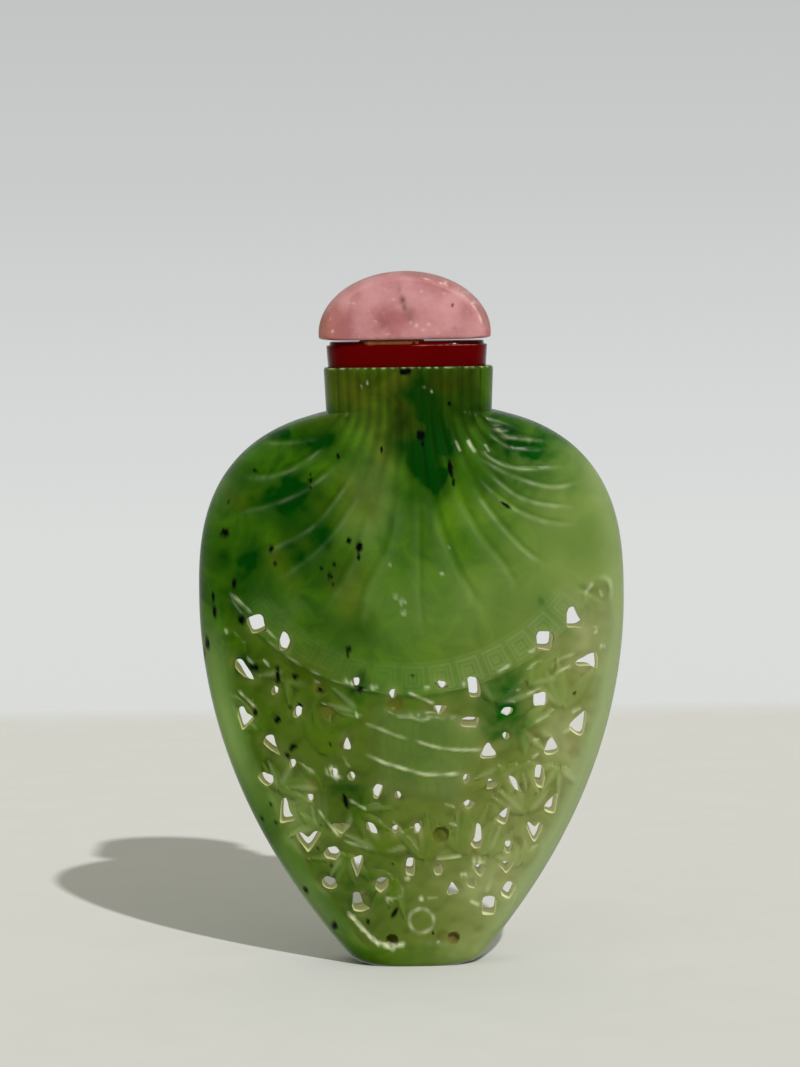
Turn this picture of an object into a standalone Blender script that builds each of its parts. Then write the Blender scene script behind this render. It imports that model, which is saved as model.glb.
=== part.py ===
"""Carved jade perfume bottle of the flattened snuff-bottle kind, with its stopper.

The bottle is one stone.  Its upper half is hollowed through the neck, its lower half is a solid
slab pierced from front to back with openwork.  The stopper is a quartz cap cemented on a red
glass collar, and it rests loose on the neck.
Frame: origin at the middle of the foot, +Z up, the carved front towards -Y.
"""
import math
import random

import bmesh
import bpy
from mathutils import Matrix, Vector

MM = 0.001

# ---------------------------------------------------------------- driving dimensions (mm)
BODY_HALF_WIDTH = 23.0      # at the widest level
WIDEST_Z = 40.0
SHOULDER_RISE = 20.6        # from the widest level to the top of the shoulder curve
SHOULDER_POWER = 2.7        # superellipse power of the shoulder
SIDE_CURVE = 0.0095         # square term of the sides below the widest level
SIDE_CURVE_4 = 4.9e-7       # fourth-power term of the same curve
FOOT_ROUND = 1.0            # height of the rounding at the foot
FOOT_PULL_WIDTH = 1.25      # how far that rounding pulls the ends in
FOOT_PULL_DEPTH = 0.35      # how far it pulls the faces in
BASE_HALF_DEPTH = 4.15
SLAB_SWELL = 0.25           # added half depth of the pierced slab above the foot
BELLY_SWELL = 1.90          # added half depth of the hollow upper half
NECK_HALF_DEPTH = 5.60
BODY_POWER = 3.0            # plan superellipse power of the body
NECK_POWER = 4.5            # plan superellipse power of the neck, nearly an oblong
NECK_BASE_Z = 60.0
NECK_TOP_Z = 64.75
NECK_HALF_WIDTH = 9.15      # at the lip
NECK_WAIST = 0.20           # how much narrower the neck is at its base
NECK_BLEND_Z = 56.0         # the plan eases from the neck's oblong to the body's from its base down to here

FLUTE_REACH = 0.84          # share of the neck's half width that is fluted
FLUTE_STEPS = 28            # half flutes across one face
FLUTE_DEPTH = 0.28
FAN_DEEPER = 1.6            # how much deeper the flutes get in the fan
FAN_SILL_Z = 54.0           # where the last fan ring meets the side
FAN_LOW_Z = 35.0            # lowest point of the fan
FAN_SPREAD = math.radians(75.0)
RIM_COLUMNS = (0.90, 0.955, 0.99, 1.0)
NECK_ROWS = [NECK_TOP_Z, 62.4, NECK_BASE_Z]
FAN_ROWS = [0.14, 0.30, 0.46, 0.62, 0.80, 1.0]                     # shares of the way down the fan
LOW_ROWS = [0.08, 0.17, 0.27, 0.38, 0.50, 0.62, 0.75, 0.88, 0.985, 1.0]    # the same below it

BORE_RADIUS = 3.3
BORE_LOW_Z = 61.5           # where the bore ends in the chamber's roof
CAVITY_HALF_WIDTH = 17.6
CAVITY_HALF_DEPTH = 3.7
CAVITY_MID_Z = 48.6
CAVITY_HALF_HEIGHT = 11.8

SWAG_CENTRE_Z = 52.5        # centre of the arc that the key-fret band follows
SWAG_RADIUS = 22.9          # lower edge of the band
SWAG_HEIGHT = 3.2
SWAG_HALF_ANGLE = math.radians(57.0)
RAIL = (0.55, 0.35)         # width and height of the band's lower rail
TOP_RAIL = (0.35, 0.22)
TOP_RAIL_REACH = 0.93       # share of the lower rail's length
FRET_COUNT = 13
FRET_REACH = 0.86           # share of the band that holds keys
FRET_LINE = (0.45, 0.25)    # width and height of a key's line
FRET_KEY = ((-0.42, 0.75), (-0.42, 2.45), (0.32, 2.45), (0.32, 1.35))   # share of the pitch, rise
SCROLL_RISE = 2.9           # scroll at each end of the band: its centre above the lower rail
SCROLL_OUT = 0.5
SCROLL_RADIUS = 1.3
SCROLL_LINE = (0.7, 0.35)

RIDGE_SINK = 0.35           # how deep a raised piece starts under the skin
RIDGE_TOP_SHARE = 0.7       # width of a bar's top against its foot
LEAF_EDGE = 0.12            # height of a leaf's edge
LEAF_RIB = 0.45             # height of its midrib
STEM_LINE = (0.5, 0.3)

BASKET_MIDDLE = (1.2, 23.4)
BASKET_TILT = math.radians(-9.0)
BASKET_HOOPS = ((3.4, 5.2, 0.5), (0.6, 6.0, 1.0), (-2.6, 4.8, 1.3))      # level, half length, sag
BASKET_HOOP_LINE = (0.6, 0.4)
BASKET_STAVES = 3           # on each side of the middle one
BASKET_STAVE_LINE = (0.6, 0.22)
BASKET_STAVE_SPOTS = ((1.45, 2.6), (1.5, -0.6), (1.1, -3.6))             # spacing at each level

COLLAR_X = -0.15            # the collar and the cap sit a little left of the bottle's axis
COLLAR_Z = (65.05, 67.10)
COLLAR_HALF_WIDTH = 8.65
COLLAR_HALF_DEPTH = 5.3
COLLAR_POWER = 4.0
COLLAR_EDGE = 0.15          # height of its bevelled edges
COLLAR_BEVEL = 0.015        # their width, as a share of the plan
COLLAR_TAPER = 0.98         # the collar's foot against its top
CEMENT_X = -1.7             # the cement sits left of the middle
CEMENT_Z = (67.25, 67.50)
CEMENT_HALF = (3.5, 4.9)
CEMENT_POWER = 5.0
CEMENT_WOBBLE = 0.04
CAP_X = -0.35
CAP_Z = (67.65, 75.0)
CAP_SHOULDER_Z = 68.4       # level where the cap is widest
CAP_HALF_WIDTH = 9.2
CAP_HALF_DEPTH = 5.7
CAP_DOME_STEP = 15          # degrees between the points of its half-moon outline
CAP_CORNER = ((0.965, 0.2), (0.88, 0.0))        # share of the half width, height above the underside
CAP_SLICES = ((-1.0, 0.90), (-0.74, 1.0), (0.74, 1.0), (1.0, 0.90))     # share of the half depth, size there

# Openings of the pierced slab: (x, z, width, height, turn in degrees, kind), where kind names an outline
# of OUTLINES: 0 round, 2 a slot with pointed ends, 3 a triangle, 4 a square, 5 a boot with its toe to the
# right, 6 a tooth with its root down, 7 a fin that points left, 8 a comma and 9 a flag.  A negative width
# mirrors it.
UNDER_BAND = [(-16.8, 37.5, 2.0, 2.2, 25, 4), (-13.8, 35.3, 1.3, 2.2, -10, 0), (-6.1, 31.1, 0.9, 0.9, 0, 0),
              (-2.2, 29.8, 0.9, 1.0, 0, 0), (3.1, 30.8, 1.4, 0.8, -15, 2), (6.5, 30.2, 1.5, 2.4, 12, 4),
              (14.3, 35.3, 2.0, 2.1, 0, 4), (17.6, 37.7, 2.2, 2.5, 0, 5), (18.7, 32.7, 3.0, 2.0, 0, 7)]
RIM_LEFT = [(-18.1, 32.4, 3.2, 1.5, -42, 8), (-18.0, 27.2, 1.9, 2.3, 0, 9), (-15.2, 24.0, 2.6, 1.5, -50, 8),
            (-15.9, 20.6, 1.9, 1.3, -20, 0), (-13.6, 17.0, 1.9, 2.6, 0, 5), (-11.6, 13.5, 2.6, 2.5, 0, 6),
            (-9.4, 9.3, 1.9, 1.3, -20, 0), (-6.0, 7.0, 2.1, 2.2, 0, 5)]
RIM_RIGHT = [(18.0, 26.2, 2.0, 2.7, -30, 3), (14.9, 23.7, 1.7, 1.8, 0, 3), (13.5, 20.5, 1.4, 2.7, 0, 0),
             (14.8, 17.4, 1.5, 2.4, -25, 3), (13.0, 14.2, 2.1, 2.4, 0, 6), (10.1, 8.2, 1.5, 1.9, -25, 4),
             (8.0, 6.4, 1.8, 2.3, 0, 4)]
LEAF_LEFT = [(-14.8, 30.2, 0.8, 1.1, -30, 0), (-12.4, 27.9, 0.9, 1.3, -30, 0), (-13.1, 22.3, 0.9, 0.9, 0, 0),
             (-11.3, 18.5, 0.9, 0.9, 0, 0), (-7.2, 24.4, 0.9, 1.2, 0, 3), (-6.7, 20.9, 0.9, 0.9, 0, 0),
             (-8.6, 21.2, 0.8, 0.9, 0, 0), (-7.9, 15.1, 1.9, 1.2, 180, 3), (-8.9, 12.5, 1.9, 1.6, 0, 0),
             (-6.3, 10.9, 1.3, 2.2, 180, 3), (-3.9, 19.1, 1.1, 1.7, -20, 0), (-1.7, 18.7, 0.8, 0.8, 0, 0),
             (-4.7, 15.2, 1.8, 0.9, -45, 2), (-3.7, 8.9, 1.4, 1.8, -30, 0)]
LEAF_RIGHT = [(2.8, 28.0, 1.6, 0.9, 180, 3), (6.0, 26.4, 2.2, 1.3, 0, 4), (8.1, 23.3, 1.9, 1.7, 0, 3),
              (5.6, 20.5, 0.8, 1.1, 0, 0), (5.8, 17.7, 1.3, 0.9, 0, 2), (8.3, 19.7, 1.3, 1.2, 20, 3),
              (10.9, 19.6, 2.1, 1.0, -48, 8), (10.2, 27.6, 1.5, 0.9, 15, 2), (9.9, 24.9, 0.9, 0.7, -20, 0),
              (13.8, 28.8, 1.6, 1.3, 15, 4), (9.8, 16.4, 1.4, 2.2, -30, 3), (6.7, 14.0, -1.3, 2.7, 0, 5),
              (10.1, 12.8, 0.9, 1.4, 0, 0), (9.9, 10.6, 1.7, 1.3, 180, 3), (6.9, 10.2, 1.4, 1.3, 180, 3),
              (6.1, 8.9, 1.1, 1.2, 0, 0), (4.1, 8.4, 1.3, 1.2, 0, 3)]
MIDDLE_LOW = [(-2.1, 15.1, 0.8, 1.0, 0, 0), (0.3, 15.0, 0.9, 1.2, 0, 0), (-0.6, 10.9, 1.1, 2.3, 0, 4),
              (2.4, 10.6, 1.1, 1.6, 0, 0)]
OUTLINES = {0: ((1.0, 0.0), (0.5, 0.9), (-0.5, 0.9), (-1.0, 0.0), (-0.5, -0.9), (0.5, -0.9)),
            2: ((1.0, 0.0), (0.3, 0.9), (-0.4, 0.9), (-1.0, 0.0), (-0.3, -0.9), (0.4, -0.9)),
            3: ((0.15, 1.0), (-0.15, 1.0), (-1.0, -0.6), (-0.7, -1.0), (0.7, -1.0), (1.0, -0.6)),
            4: ((0.95, 0.8), (-0.8, 1.0), (-1.0, -0.8), (0.8, -1.0)),
            5: ((-0.1, 1.0), (-0.85, 0.95), (-0.9, -0.95), (0.3, -0.95), (1.0, -0.6), (0.25, -0.1)),
            6: ((0.0, 0.45), (-0.6, 1.0), (-1.0, 0.7), (0.0, -1.0), (1.0, 0.8), (0.55, 1.0)),
            7: ((0.7, 1.0), (0.2, 0.8), (-1.0, -0.1), (-0.8, -0.4), (0.3, -0.45), (1.0, -1.0)),
            8: ((1.0, 0.0), (0.1, 0.5), (-0.6, 1.0), (-1.0, 0.2), (-0.7, -0.8), (0.3, -0.6)),
            9: ((-0.9, 1.0), (-1.0, 0.2), (-0.6, -1.0), (0.0, -0.9), (1.0, -0.1), (0.0, 0.4), (-0.3, 1.0))}
OPENING_REACH = 12.0        # the cutters run this far either side of the middle plane
OPENING_WOBBLE = 0.08       # uneven hand cutting, as a share of the size
# Blind holes: x, z, radius and depth.
BLIND = [(-2.6, 2.8, 0.6, 1.6), (4.0, 3.0, 0.6, 1.0), (2.8, 14.3, 0.75, 0.8)]


# ---------------------------------------------------------------- the bottle's own shape
def smooth_step(low, high, value):
    """Ease from 0 at low to 1 at high."""
    t = min(1.0, max(0.0, (value - low) / (high - low)))
    return t * t * (3.0 - 2.0 * t)


def foot_pull(z):
    """Share of the foot's rounding at height z: 1 at the ground, 0 from FOOT_ROUND up."""
    t = min(1.0, max(0.0, z / FOOT_ROUND))
    return 1.0 - math.sqrt(1.0 - (1.0 - t) ** 2)


def half_width(z):
    """Half the outline's width at height z."""
    if z >= NECK_BASE_Z:
        share = (z - NECK_BASE_Z) / (NECK_TOP_Z - NECK_BASE_Z)
        return NECK_HALF_WIDTH - NECK_WAIST * (1.0 - share)
    if z >= WIDEST_Z:
        t = min(1.0, (z - WIDEST_Z) / SHOULDER_RISE)
        return BODY_HALF_WIDTH * (1.0 - t ** SHOULDER_POWER) ** (1.0 / SHOULDER_POWER)
    drop = WIDEST_Z - z
    side = BODY_HALF_WIDTH - SIDE_CURVE * drop ** 2 - SIDE_CURVE_4 * drop ** 4
    return side - FOOT_PULL_WIDTH * foot_pull(z)


def shoulder_z(x):
    """Height of the shoulder's outline at distance x from the axis."""
    t = (1.0 - (abs(x) / BODY_HALF_WIDTH) ** SHOULDER_POWER) ** (1.0 / SHOULDER_POWER)
    return WIDEST_Z + SHOULDER_RISE * t


def half_depth(z):
    """Half the thickness on the axis at height z."""
    belly = BASE_HALF_DEPTH + SLAB_SWELL * smooth_step(0.0, 12.0, z)
    belly += BELLY_SWELL * smooth_step(26.0, 50.0, z)
    full = BASE_HALF_DEPTH + SLAB_SWELL + BELLY_SWELL
    belly -= (full - NECK_HALF_DEPTH) * smooth_step(54.0, NECK_BASE_Z, z)
    return belly - FOOT_PULL_DEPTH * foot_pull(z)


def skin_depth(x, z):
    """Distance of the plain surface from the middle plane at (x, z)."""
    power = BODY_POWER + (NECK_POWER - BODY_POWER) * smooth_step(NECK_BLEND_Z, NECK_BASE_Z, z)
    q = min(1.0, abs(x) / half_width(z))
    return half_depth(z) * (1.0 - q ** power) ** (1.0 / power)


# ---------------------------------------------------------------- mesh helpers
def material(name, colour, roughness, metallic=0.0):
    """A plain Principled material."""
    mat = bpy.data.materials.new(name)
    mat.use_nodes = True
    shader = mat.node_tree.nodes["Principled BSDF"]
    shader.inputs["Base Color"].default_value = (*colour, 1.0)
    shader.inputs["Roughness"].default_value = roughness
    shader.inputs["Metallic"].default_value = metallic
    return mat


def finish(bm, name, mat=None, helper=False):
    """Scale a bmesh from millimetres, turn its faces out and link it as an object."""
    bmesh.ops.scale(bm, vec=(MM, MM, MM), verts=bm.verts)
    bmesh.ops.recalc_face_normals(bm, faces=bm.faces)
    mesh = bpy.data.meshes.new(name)
    bm.to_mesh(mesh)
    bm.free()
    obj = bpy.data.objects.new(name, mesh)
    bpy.context.scene.collection.objects.link(obj)
    if helper:
        obj.hide_render = True
        obj.display_type = "WIRE"
    else:
        mesh.materials.append(mat)
        mesh.shade_smooth()
        mesh.set_sharp_from_angle(angle=math.radians(35.0))
    return obj


def wrapped_shell(columns, rows, place):
    """Wrap a grid round the Z axis: place(i, j) gives the point of column i and row j."""
    bm = bmesh.new()
    bmesh.ops.create_grid(bm, x_segments=columns, y_segments=rows, size=0.5)
    for vert in bm.verts:
        i = round((vert.co.x + 0.5) * columns)
        j = round((vert.co.y + 0.5) * rows)
        vert.co = place(i % columns, j)
    bmesh.ops.remove_doubles(bm, verts=bm.verts, dist=1e-4)
    bmesh.ops.holes_fill(bm, edges=bm.edges, sides=0)
    return bm


def cut(target, tool, operation, self_overlaps=False):
    """Add a Boolean with a helper object to the target."""
    mod = target.modifiers.new(tool.name, "BOOLEAN")
    mod.operation = operation
    mod.solver = "EXACT"
    mod.use_self = self_overlaps
    mod.object = tool


# ---------------------------------------------------------------- bottle
def face_columns():
    """Neck positions from the left edge to the right edge, as (q, fluted, groove)."""
    left = [(-q, False, False) for q in reversed(RIM_COLUMNS)]
    middle = []
    for k in range(FLUTE_STEPS + 1):
        q = FLUTE_REACH * (2.0 * k / FLUTE_STEPS - 1.0)
        middle.append((q, True, k % 2 == 1))
    return left + middle + [(-q, False, False) for q, _, _ in reversed(left)]


def fan_path(q, s):
    """Point (x, z) of a flute at share s of its way from the neck to the fan's edge."""
    x0 = q * half_width(NECK_BASE_Z)
    spread = FAN_SPREAD * q / FLUTE_REACH
    end_z = FAN_SILL_Z - (FAN_SILL_Z - FAN_LOW_Z) * math.cos(spread)
    end = Vector((math.sin(spread) * half_width(end_z), end_z))
    bend = Vector((x0, NECK_BASE_Z - 2.5 - 6.0 * (1.0 - abs(q) / FLUTE_REACH)))
    start = Vector((x0, NECK_BASE_Z))
    return start * (1 - s) ** 2 + bend * 2 * s * (1 - s) + end * s ** 2


def rim_path(q, s):
    """Point (x, z) of a plain column between the outermost flute and the silhouette."""
    flute = fan_path(FLUTE_REACH, s)
    start_x = half_width(NECK_BASE_Z)
    edge_x = start_x + s * (half_width(FAN_SILL_Z) - start_x)
    share = (abs(q) - FLUTE_REACH) / (1.0 - FLUTE_REACH)
    z = flute.y + (shoulder_z(edge_x) - flute.y) * share
    flute_q = flute.x / half_width(flute.y)
    rim_q = 1.0 - (1.0 - flute_q) * (1.0 - share) ** 1.6
    return Vector((math.copysign(rim_q * half_width(z), q), z))


def bottle_shell():
    """The fluted neck, the fan of gathered flutes and the smooth lower body, closed."""
    face = face_columns()
    span = len(face) - 1
    row_count = len(NECK_ROWS) + len(FAN_ROWS) + len(LOW_ROWS)

    def spot(q, fluted, j):
        """Point (x, z) of column q in row j, and the flute depth there."""
        if j < len(NECK_ROWS):
            return q * half_width(NECK_ROWS[j]), NECK_ROWS[j], FLUTE_DEPTH
        j -= len(NECK_ROWS)
        path = fan_path if fluted else rim_path
        if j < len(FAN_ROWS):
            s = FAN_ROWS[j]
            x, z = path(q, s)
            deeper = 1.0 + (FAN_DEEPER - 1.0) * smooth_step(0.0, 0.4, s)
            return x, z, FLUTE_DEPTH * deeper * (1.0 - smooth_step(0.6, 1.0, s))
        fall = LOW_ROWS[j - len(FAN_ROWS)]
        end = path(q, 1.0)
        share = end.x / half_width(end.y)
        z = (1.0 - fall) * end.y
        return share * half_width(z), z, 0.0

    def place(i, j):
        front = i <= span
        q, fluted, groove = face[i] if front else face[2 * span - i]
        x, z, flute = spot(q, fluted, j)
        depth = skin_depth(x, z) if abs(q) < 1.0 else 0.0
        if groove:
            depth -= flute
        return Vector((x, -depth if front else depth, z))

    return wrapped_shell(2 * span, row_count - 1, place)


def cavity_shell():
    """The hollow: a bore down the neck that opens into a flattened chamber."""
    columns = 24
    bore_rows = [NECK_TOP_Z + 2.0, BORE_LOW_Z]
    angles = [math.radians(a) for a in (62, 45, 28, 12, -8, -28, -46, -64, -80)]

    def place(i, j):
        turn = 2.0 * math.pi * i / columns
        if j < len(bore_rows):
            return Vector((BORE_RADIUS * math.cos(turn), BORE_RADIUS * math.sin(turn), bore_rows[j]))
        rise = angles[j - len(bore_rows)]
        width = CAVITY_HALF_WIDTH * math.cos(rise)
        depth = CAVITY_HALF_DEPTH * math.cos(rise) ** 0.2
        z = CAVITY_MID_Z + CAVITY_HALF_HEIGHT * math.sin(rise)
        return Vector((width * math.cos(turn), depth * math.sin(turn), z))

    return wrapped_shell(columns, len(bore_rows) + len(angles) - 1, place)


def add_opening(bm, opening, rng):
    """One pierced opening, right through the slab, with a slightly uneven outline."""
    x, z, width, height, turn, kind = opening
    outline = OUTLINES[kind]
    spin = Matrix.Rotation(math.radians(turn), 2)
    made = bmesh.ops.create_circle(bm, cap_ends=True, segments=len(outline), radius=1.0)
    for vert, (u, v) in zip(made["verts"], outline):
        reach = 1.0 + rng.uniform(-OPENING_WOBBLE, OPENING_WOBBLE)
        spot = spin @ Vector((0.5 * width * u * reach, 0.5 * height * v * reach))
        vert.co = (x + spot.x, -OPENING_REACH, z + spot.y)
    lid = made["verts"][0].link_faces[:]
    pulled = bmesh.ops.extrude_face_region(bm, geom=lid, use_keep_orig=True)
    far = [g for g in pulled["geom"] if isinstance(g, bmesh.types.BMVert)]
    bmesh.ops.translate(bm, vec=(0.0, 2.0 * OPENING_REACH, 0.0), verts=far)


def openwork():
    """All openings through the slab, and the blind holes."""
    rng = random.Random(7)
    bm = bmesh.new()
    for row in (UNDER_BAND, RIM_LEFT, RIM_RIGHT, LEAF_LEFT, LEAF_RIGHT, MIDDLE_LOW):
        for opening in row:
            add_opening(bm, opening, rng)
    lie_along_y = Matrix.Rotation(math.pi / 2, 4, "X")
    for x, z, radius, depth in BLIND:
        mouth = Matrix.Translation((x, -skin_depth(x, z), z))
        bmesh.ops.create_cone(bm, cap_ends=True, segments=6, radius1=radius, radius2=radius,
                              depth=2.0 * depth, matrix=mouth @ lie_along_y)
    return bm


def add_ridge(bm, spots, line, side=-1.0):
    """A raised bar along the spots (x, z) on the skin; line is (width, height), side -1 the front."""
    width, height = line
    loops = []
    for k, (x, z) in enumerate(spots):
        before = Vector(spots[max(0, k - 1)])
        after = Vector(spots[min(len(spots) - 1, k + 1)])
        along = (after - before).normalized()
        across = Vector((along.y, -along.x)) * width / 2.0
        loop = []
        for hand, lift in ((-1.0, -RIDGE_SINK), (-RIDGE_TOP_SHARE, height),
                           (RIDGE_TOP_SHARE, height), (1.0, -RIDGE_SINK)):
            px = x + across.x * hand
            pz = z + across.y * hand
            loop.append(bm.verts.new((px, side * (skin_depth(px, pz) + lift), pz)))
        loops.append(loop)
    for first, second in zip(loops, loops[1:]):
        for k in range(4):
            m = (k + 1) % 4
            bm.faces.new((first[k], first[m], second[m], second[k]))
    bm.faces.new(loops[0])
    bm.faces.new(reversed(loops[-1]))


def add_leaf(bm, x, z, length, width, angle, side=-1.0):
    """A low pointed leaf with a raised midrib."""
    turn = math.radians(angle)
    along = Vector((math.cos(turn), math.sin(turn)))
    across = Vector((-along.y, along.x))
    rim = []
    for a, c in ((0.0, 0.0), (0.3, 0.5), (0.65, 0.42), (1.0, 0.0), (0.65, -0.42), (0.3, -0.5)):
        spot = Vector((x, z)) + along * (a * length) + across * (c * width)
        rim.append(spot)
    low = [bm.verts.new((p.x, side * (skin_depth(p.x, p.y) - RIDGE_SINK), p.y)) for p in rim]
    top = [bm.verts.new((p.x, side * (skin_depth(p.x, p.y) + LEAF_EDGE), p.y)) for p in rim]
    ribs = []
    for a in (0.3, 0.65):
        spot = Vector((x, z)) + along * (a * length)
        ribs.append(bm.verts.new((spot.x, side * (skin_depth(spot.x, spot.y) + LEAF_RIB), spot.y)))
    bm.faces.new(low)
    for k in range(6):
        m = (k + 1) % 6
        bm.faces.new((low[k], top[k], top[m], low[m]))
    bm.faces.new((top[0], ribs[0], top[1]))
    bm.faces.new((top[1], ribs[0], ribs[1], top[2]))
    bm.faces.new((top[2], ribs[1], top[3]))
    bm.faces.new((top[3], ribs[1], top[4]))
    bm.faces.new((top[4], ribs[1], ribs[0], top[5]))
    bm.faces.new((top[5], ribs[0], top[0]))


def swag_spot(angle, rise=0.0):
    """Point of the band's arc: angle from straight down, rise above its lower edge."""
    reach = SWAG_RADIUS - rise
    return reach * math.sin(angle), SWAG_CENTRE_Z - reach * math.cos(angle)


def swag_arc(rise, steps, reach=1.0):
    """Spots along the band at one height."""
    spots = []
    for k in range(steps + 1):
        angle = SWAG_HALF_ANGLE * reach * (2.0 * k / steps - 1.0)
        spots.append(swag_spot(angle, rise))
    return spots


def add_band(bm):
    """The key-fret band: a rail below, a thin rail above and square keys between, front only."""
    for side, steps in ((-1.0, 14), (1.0, 10)):
        add_ridge(bm, swag_arc(0.0, steps), RAIL, side)
        add_ridge(bm, swag_arc(SWAG_HEIGHT, steps, TOP_RAIL_REACH), TOP_RAIL, side)
    pitch = 2.0 * FRET_REACH * SWAG_HALF_ANGLE / FRET_COUNT
    for k in range(FRET_COUNT):
        middle = pitch * (k - (FRET_COUNT - 1) / 2.0)
        add_ridge(bm, [swag_spot(middle + share * pitch, rise) for share, rise in FRET_KEY], FRET_LINE)
    for hand in (-1.0, 1.0):
        end_x, end_z = swag_spot(hand * SWAG_HALF_ANGLE)
        hook = []
        for degrees in range(-90, 151, 48):
            turn = math.radians(degrees)
            x = end_x + hand * (SCROLL_OUT - SCROLL_RADIUS * math.cos(turn))
            hook.append((x, end_z + SCROLL_RISE + SCROLL_RADIUS * math.sin(turn)))
        add_ridge(bm, hook, SCROLL_LINE)


def add_basket(bm):
    """The hung basket in the middle: a rim and two hoops across upright staves."""
    turned = Matrix.Rotation(BASKET_TILT, 2)

    def spot(u, v):
        """Basket coordinates: u across, v up from the basket's middle."""
        return tuple(Vector(BASKET_MIDDLE) + turned @ Vector((u, v)))

    for level, reach, sag in BASKET_HOOPS:
        shares = [k / 2.0 for k in range(-2, 3)]
        add_ridge(bm, [spot(reach * t, level - sag * (1.0 - t * t)) for t in shares], BASKET_HOOP_LINE)
    for k in range(-BASKET_STAVES, BASKET_STAVES + 1):
        add_ridge(bm, [spot(spacing * k, v) for spacing, v in BASKET_STAVE_SPOTS], BASKET_STAVE_LINE)


# The main blade of each spray of leaves: (x, z, length, width, angle), the angle from +X.
LEAVES = [(-13.4, 32.6, 4.2, 1.7, 235), (-10.6, 30.8, 4.2, 1.7, 200), (-9.8, 23.2, 5.2, 1.9, 85),
          (-5.6, 27.4, 4.4, 1.7, 150), (-9.8, 19.4, 4.4, 1.7, 205), (-6.4, 17.4, 4.2, 1.5, 320),
          (-7.4, 12.4, 3.6, 1.5, 250), (-3.8, 12.4, 4.6, 1.7, 75), (-2.2, 9.6, 4.2, 1.6, 225),
          (0.8, 11.6, 5.2, 1.4, 90), (4.8, 12.0, 5.6, 1.6, 75), (7.6, 11.8, 4.4, 1.5, 80),
          (8.8, 28.4, 5.0, 1.9, 65), (12.4, 30.6, 4.6, 1.8, 40), (16.2, 27.8, 5.2, 1.8, 95),
          (11.8, 25.8, 4.2, 1.7, 340), (11.6, 22.0, 4.2, 1.7, 280), (11.8, 16.4, 4.0, 1.5, 95)]
STEMS = [((-10.4, 17.3), (-9.4, 15.8), (-8.1, 14.2)), ((2.2, 11.7), (4.2, 11.9), (5.1, 12.1)),
         ((-2.4, 12.2), (-1.8, 9.6), (-2.2, 7.6)), ((14.8, 32.1), (15.7, 33.1), (17.5, 33.7))]


def relief():
    """Everything that stands proud of the skin, as one helper mesh."""
    bm = bmesh.new()
    add_band(bm)
    add_basket(bm)
    for leaf in LEAVES:
        add_leaf(bm, *leaf)
    for x, z, length, width, angle in LEAVES[::4]:
        add_leaf(bm, x, z, length, width, angle, side=1.0)
    for stem in STEMS:
        add_ridge(bm, stem, STEM_LINE)
    return bm


def build_bottle():
    """The jade bottle with its relief, hollow and openwork."""
    jade = material("jade", (0.10, 0.22, 0.05), 0.28)
    bottle = finish(bottle_shell(), "bottle", jade)
    cut(bottle, finish(relief(), "relief_helper", helper=True), "UNION", self_overlaps=True)
    cut(bottle, finish(cavity_shell(), "cavity_helper", helper=True), "DIFFERENCE")
    cut(bottle, finish(openwork(), "openwork_helper", helper=True), "DIFFERENCE")
    return bottle


# ---------------------------------------------------------------- stopper
def oblong(turn, half_w, half_d, power):
    """Point of a superellipse at a turn round it."""
    c, s = math.cos(turn), math.sin(turn)
    x = math.copysign(abs(c) ** (2.0 / power), c) * half_w
    y = math.copysign(abs(s) ** (2.0 / power), s) * half_d
    return x, y


def cap_outline():
    """The cap's half-moon outline as (x, z), from the right over the dome and back along the underside."""
    spots = []
    for degrees in range(0, 181, CAP_DOME_STEP):
        turn = math.radians(degrees)
        rise = (CAP_Z[1] - CAP_SHOULDER_Z) * math.sin(turn)
        spots.append((CAP_HALF_WIDTH * math.cos(turn), CAP_SHOULDER_Z + rise))
    for share, up in CAP_CORNER:
        spots.append((-CAP_HALF_WIDTH * share, CAP_Z[0] + up))
    for share, up in reversed(CAP_CORNER):
        spots.append((CAP_HALF_WIDTH * share, CAP_Z[0] + up))
    return spots


def build_cap():
    """The quartz cap: a half-moon slab with flat faces and a bevelled rim."""
    rose = material("rose_quartz", (0.55, 0.22, 0.23), 0.22)
    outline = cap_outline()

    def place(i, j):
        depth, size = CAP_SLICES[j]
        x, z = outline[i]
        lifted = CAP_SHOULDER_Z + (z - CAP_SHOULDER_Z) * size
        return Vector((CAP_X + x * size, CAP_HALF_DEPTH * depth, lifted))

    return finish(wrapped_shell(len(outline), len(CAP_SLICES) - 1, place), "stopper_cap", rose)


def build_collar():
    """The red glass collar: an oblong plate that narrows a little downwards."""
    red = material("red_glass", (0.20, 0.002, 0.003), 0.12)
    columns = 28
    low, high = COLLAR_Z
    rows = [(low, COLLAR_TAPER), (low + COLLAR_EDGE, COLLAR_TAPER + COLLAR_BEVEL),
            (high - COLLAR_EDGE, 1.0), (high, 1.0 - COLLAR_BEVEL)]

    def place(i, j):
        z, share = rows[j]
        turn = 2.0 * math.pi * i / columns
        x, y = oblong(turn, COLLAR_HALF_WIDTH * share, COLLAR_HALF_DEPTH * share, COLLAR_POWER)
        return Vector((x + COLLAR_X, y, z))

    return finish(wrapped_shell(columns, len(rows) - 1, place), "stopper_collar", red)


def build_cement():
    """The thin cement that holds the cap on the collar, uneven round its edge."""
    amber = material("cement", (0.25, 0.13, 0.03), 0.6)
    columns = 16
    rng = random.Random(3)
    wobble = [1.0 + rng.uniform(-CEMENT_WOBBLE, CEMENT_WOBBLE) for _ in range(columns)]

    def place(i, j):
        turn = 2.0 * math.pi * i / columns
        x, y = oblong(turn, CEMENT_HALF[0] * wobble[i], CEMENT_HALF[1] * wobble[i], CEMENT_POWER)
        return Vector((x + CEMENT_X, y, CEMENT_Z[j]))

    return finish(wrapped_shell(columns, 1, place), "stopper_cement", amber)


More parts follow.
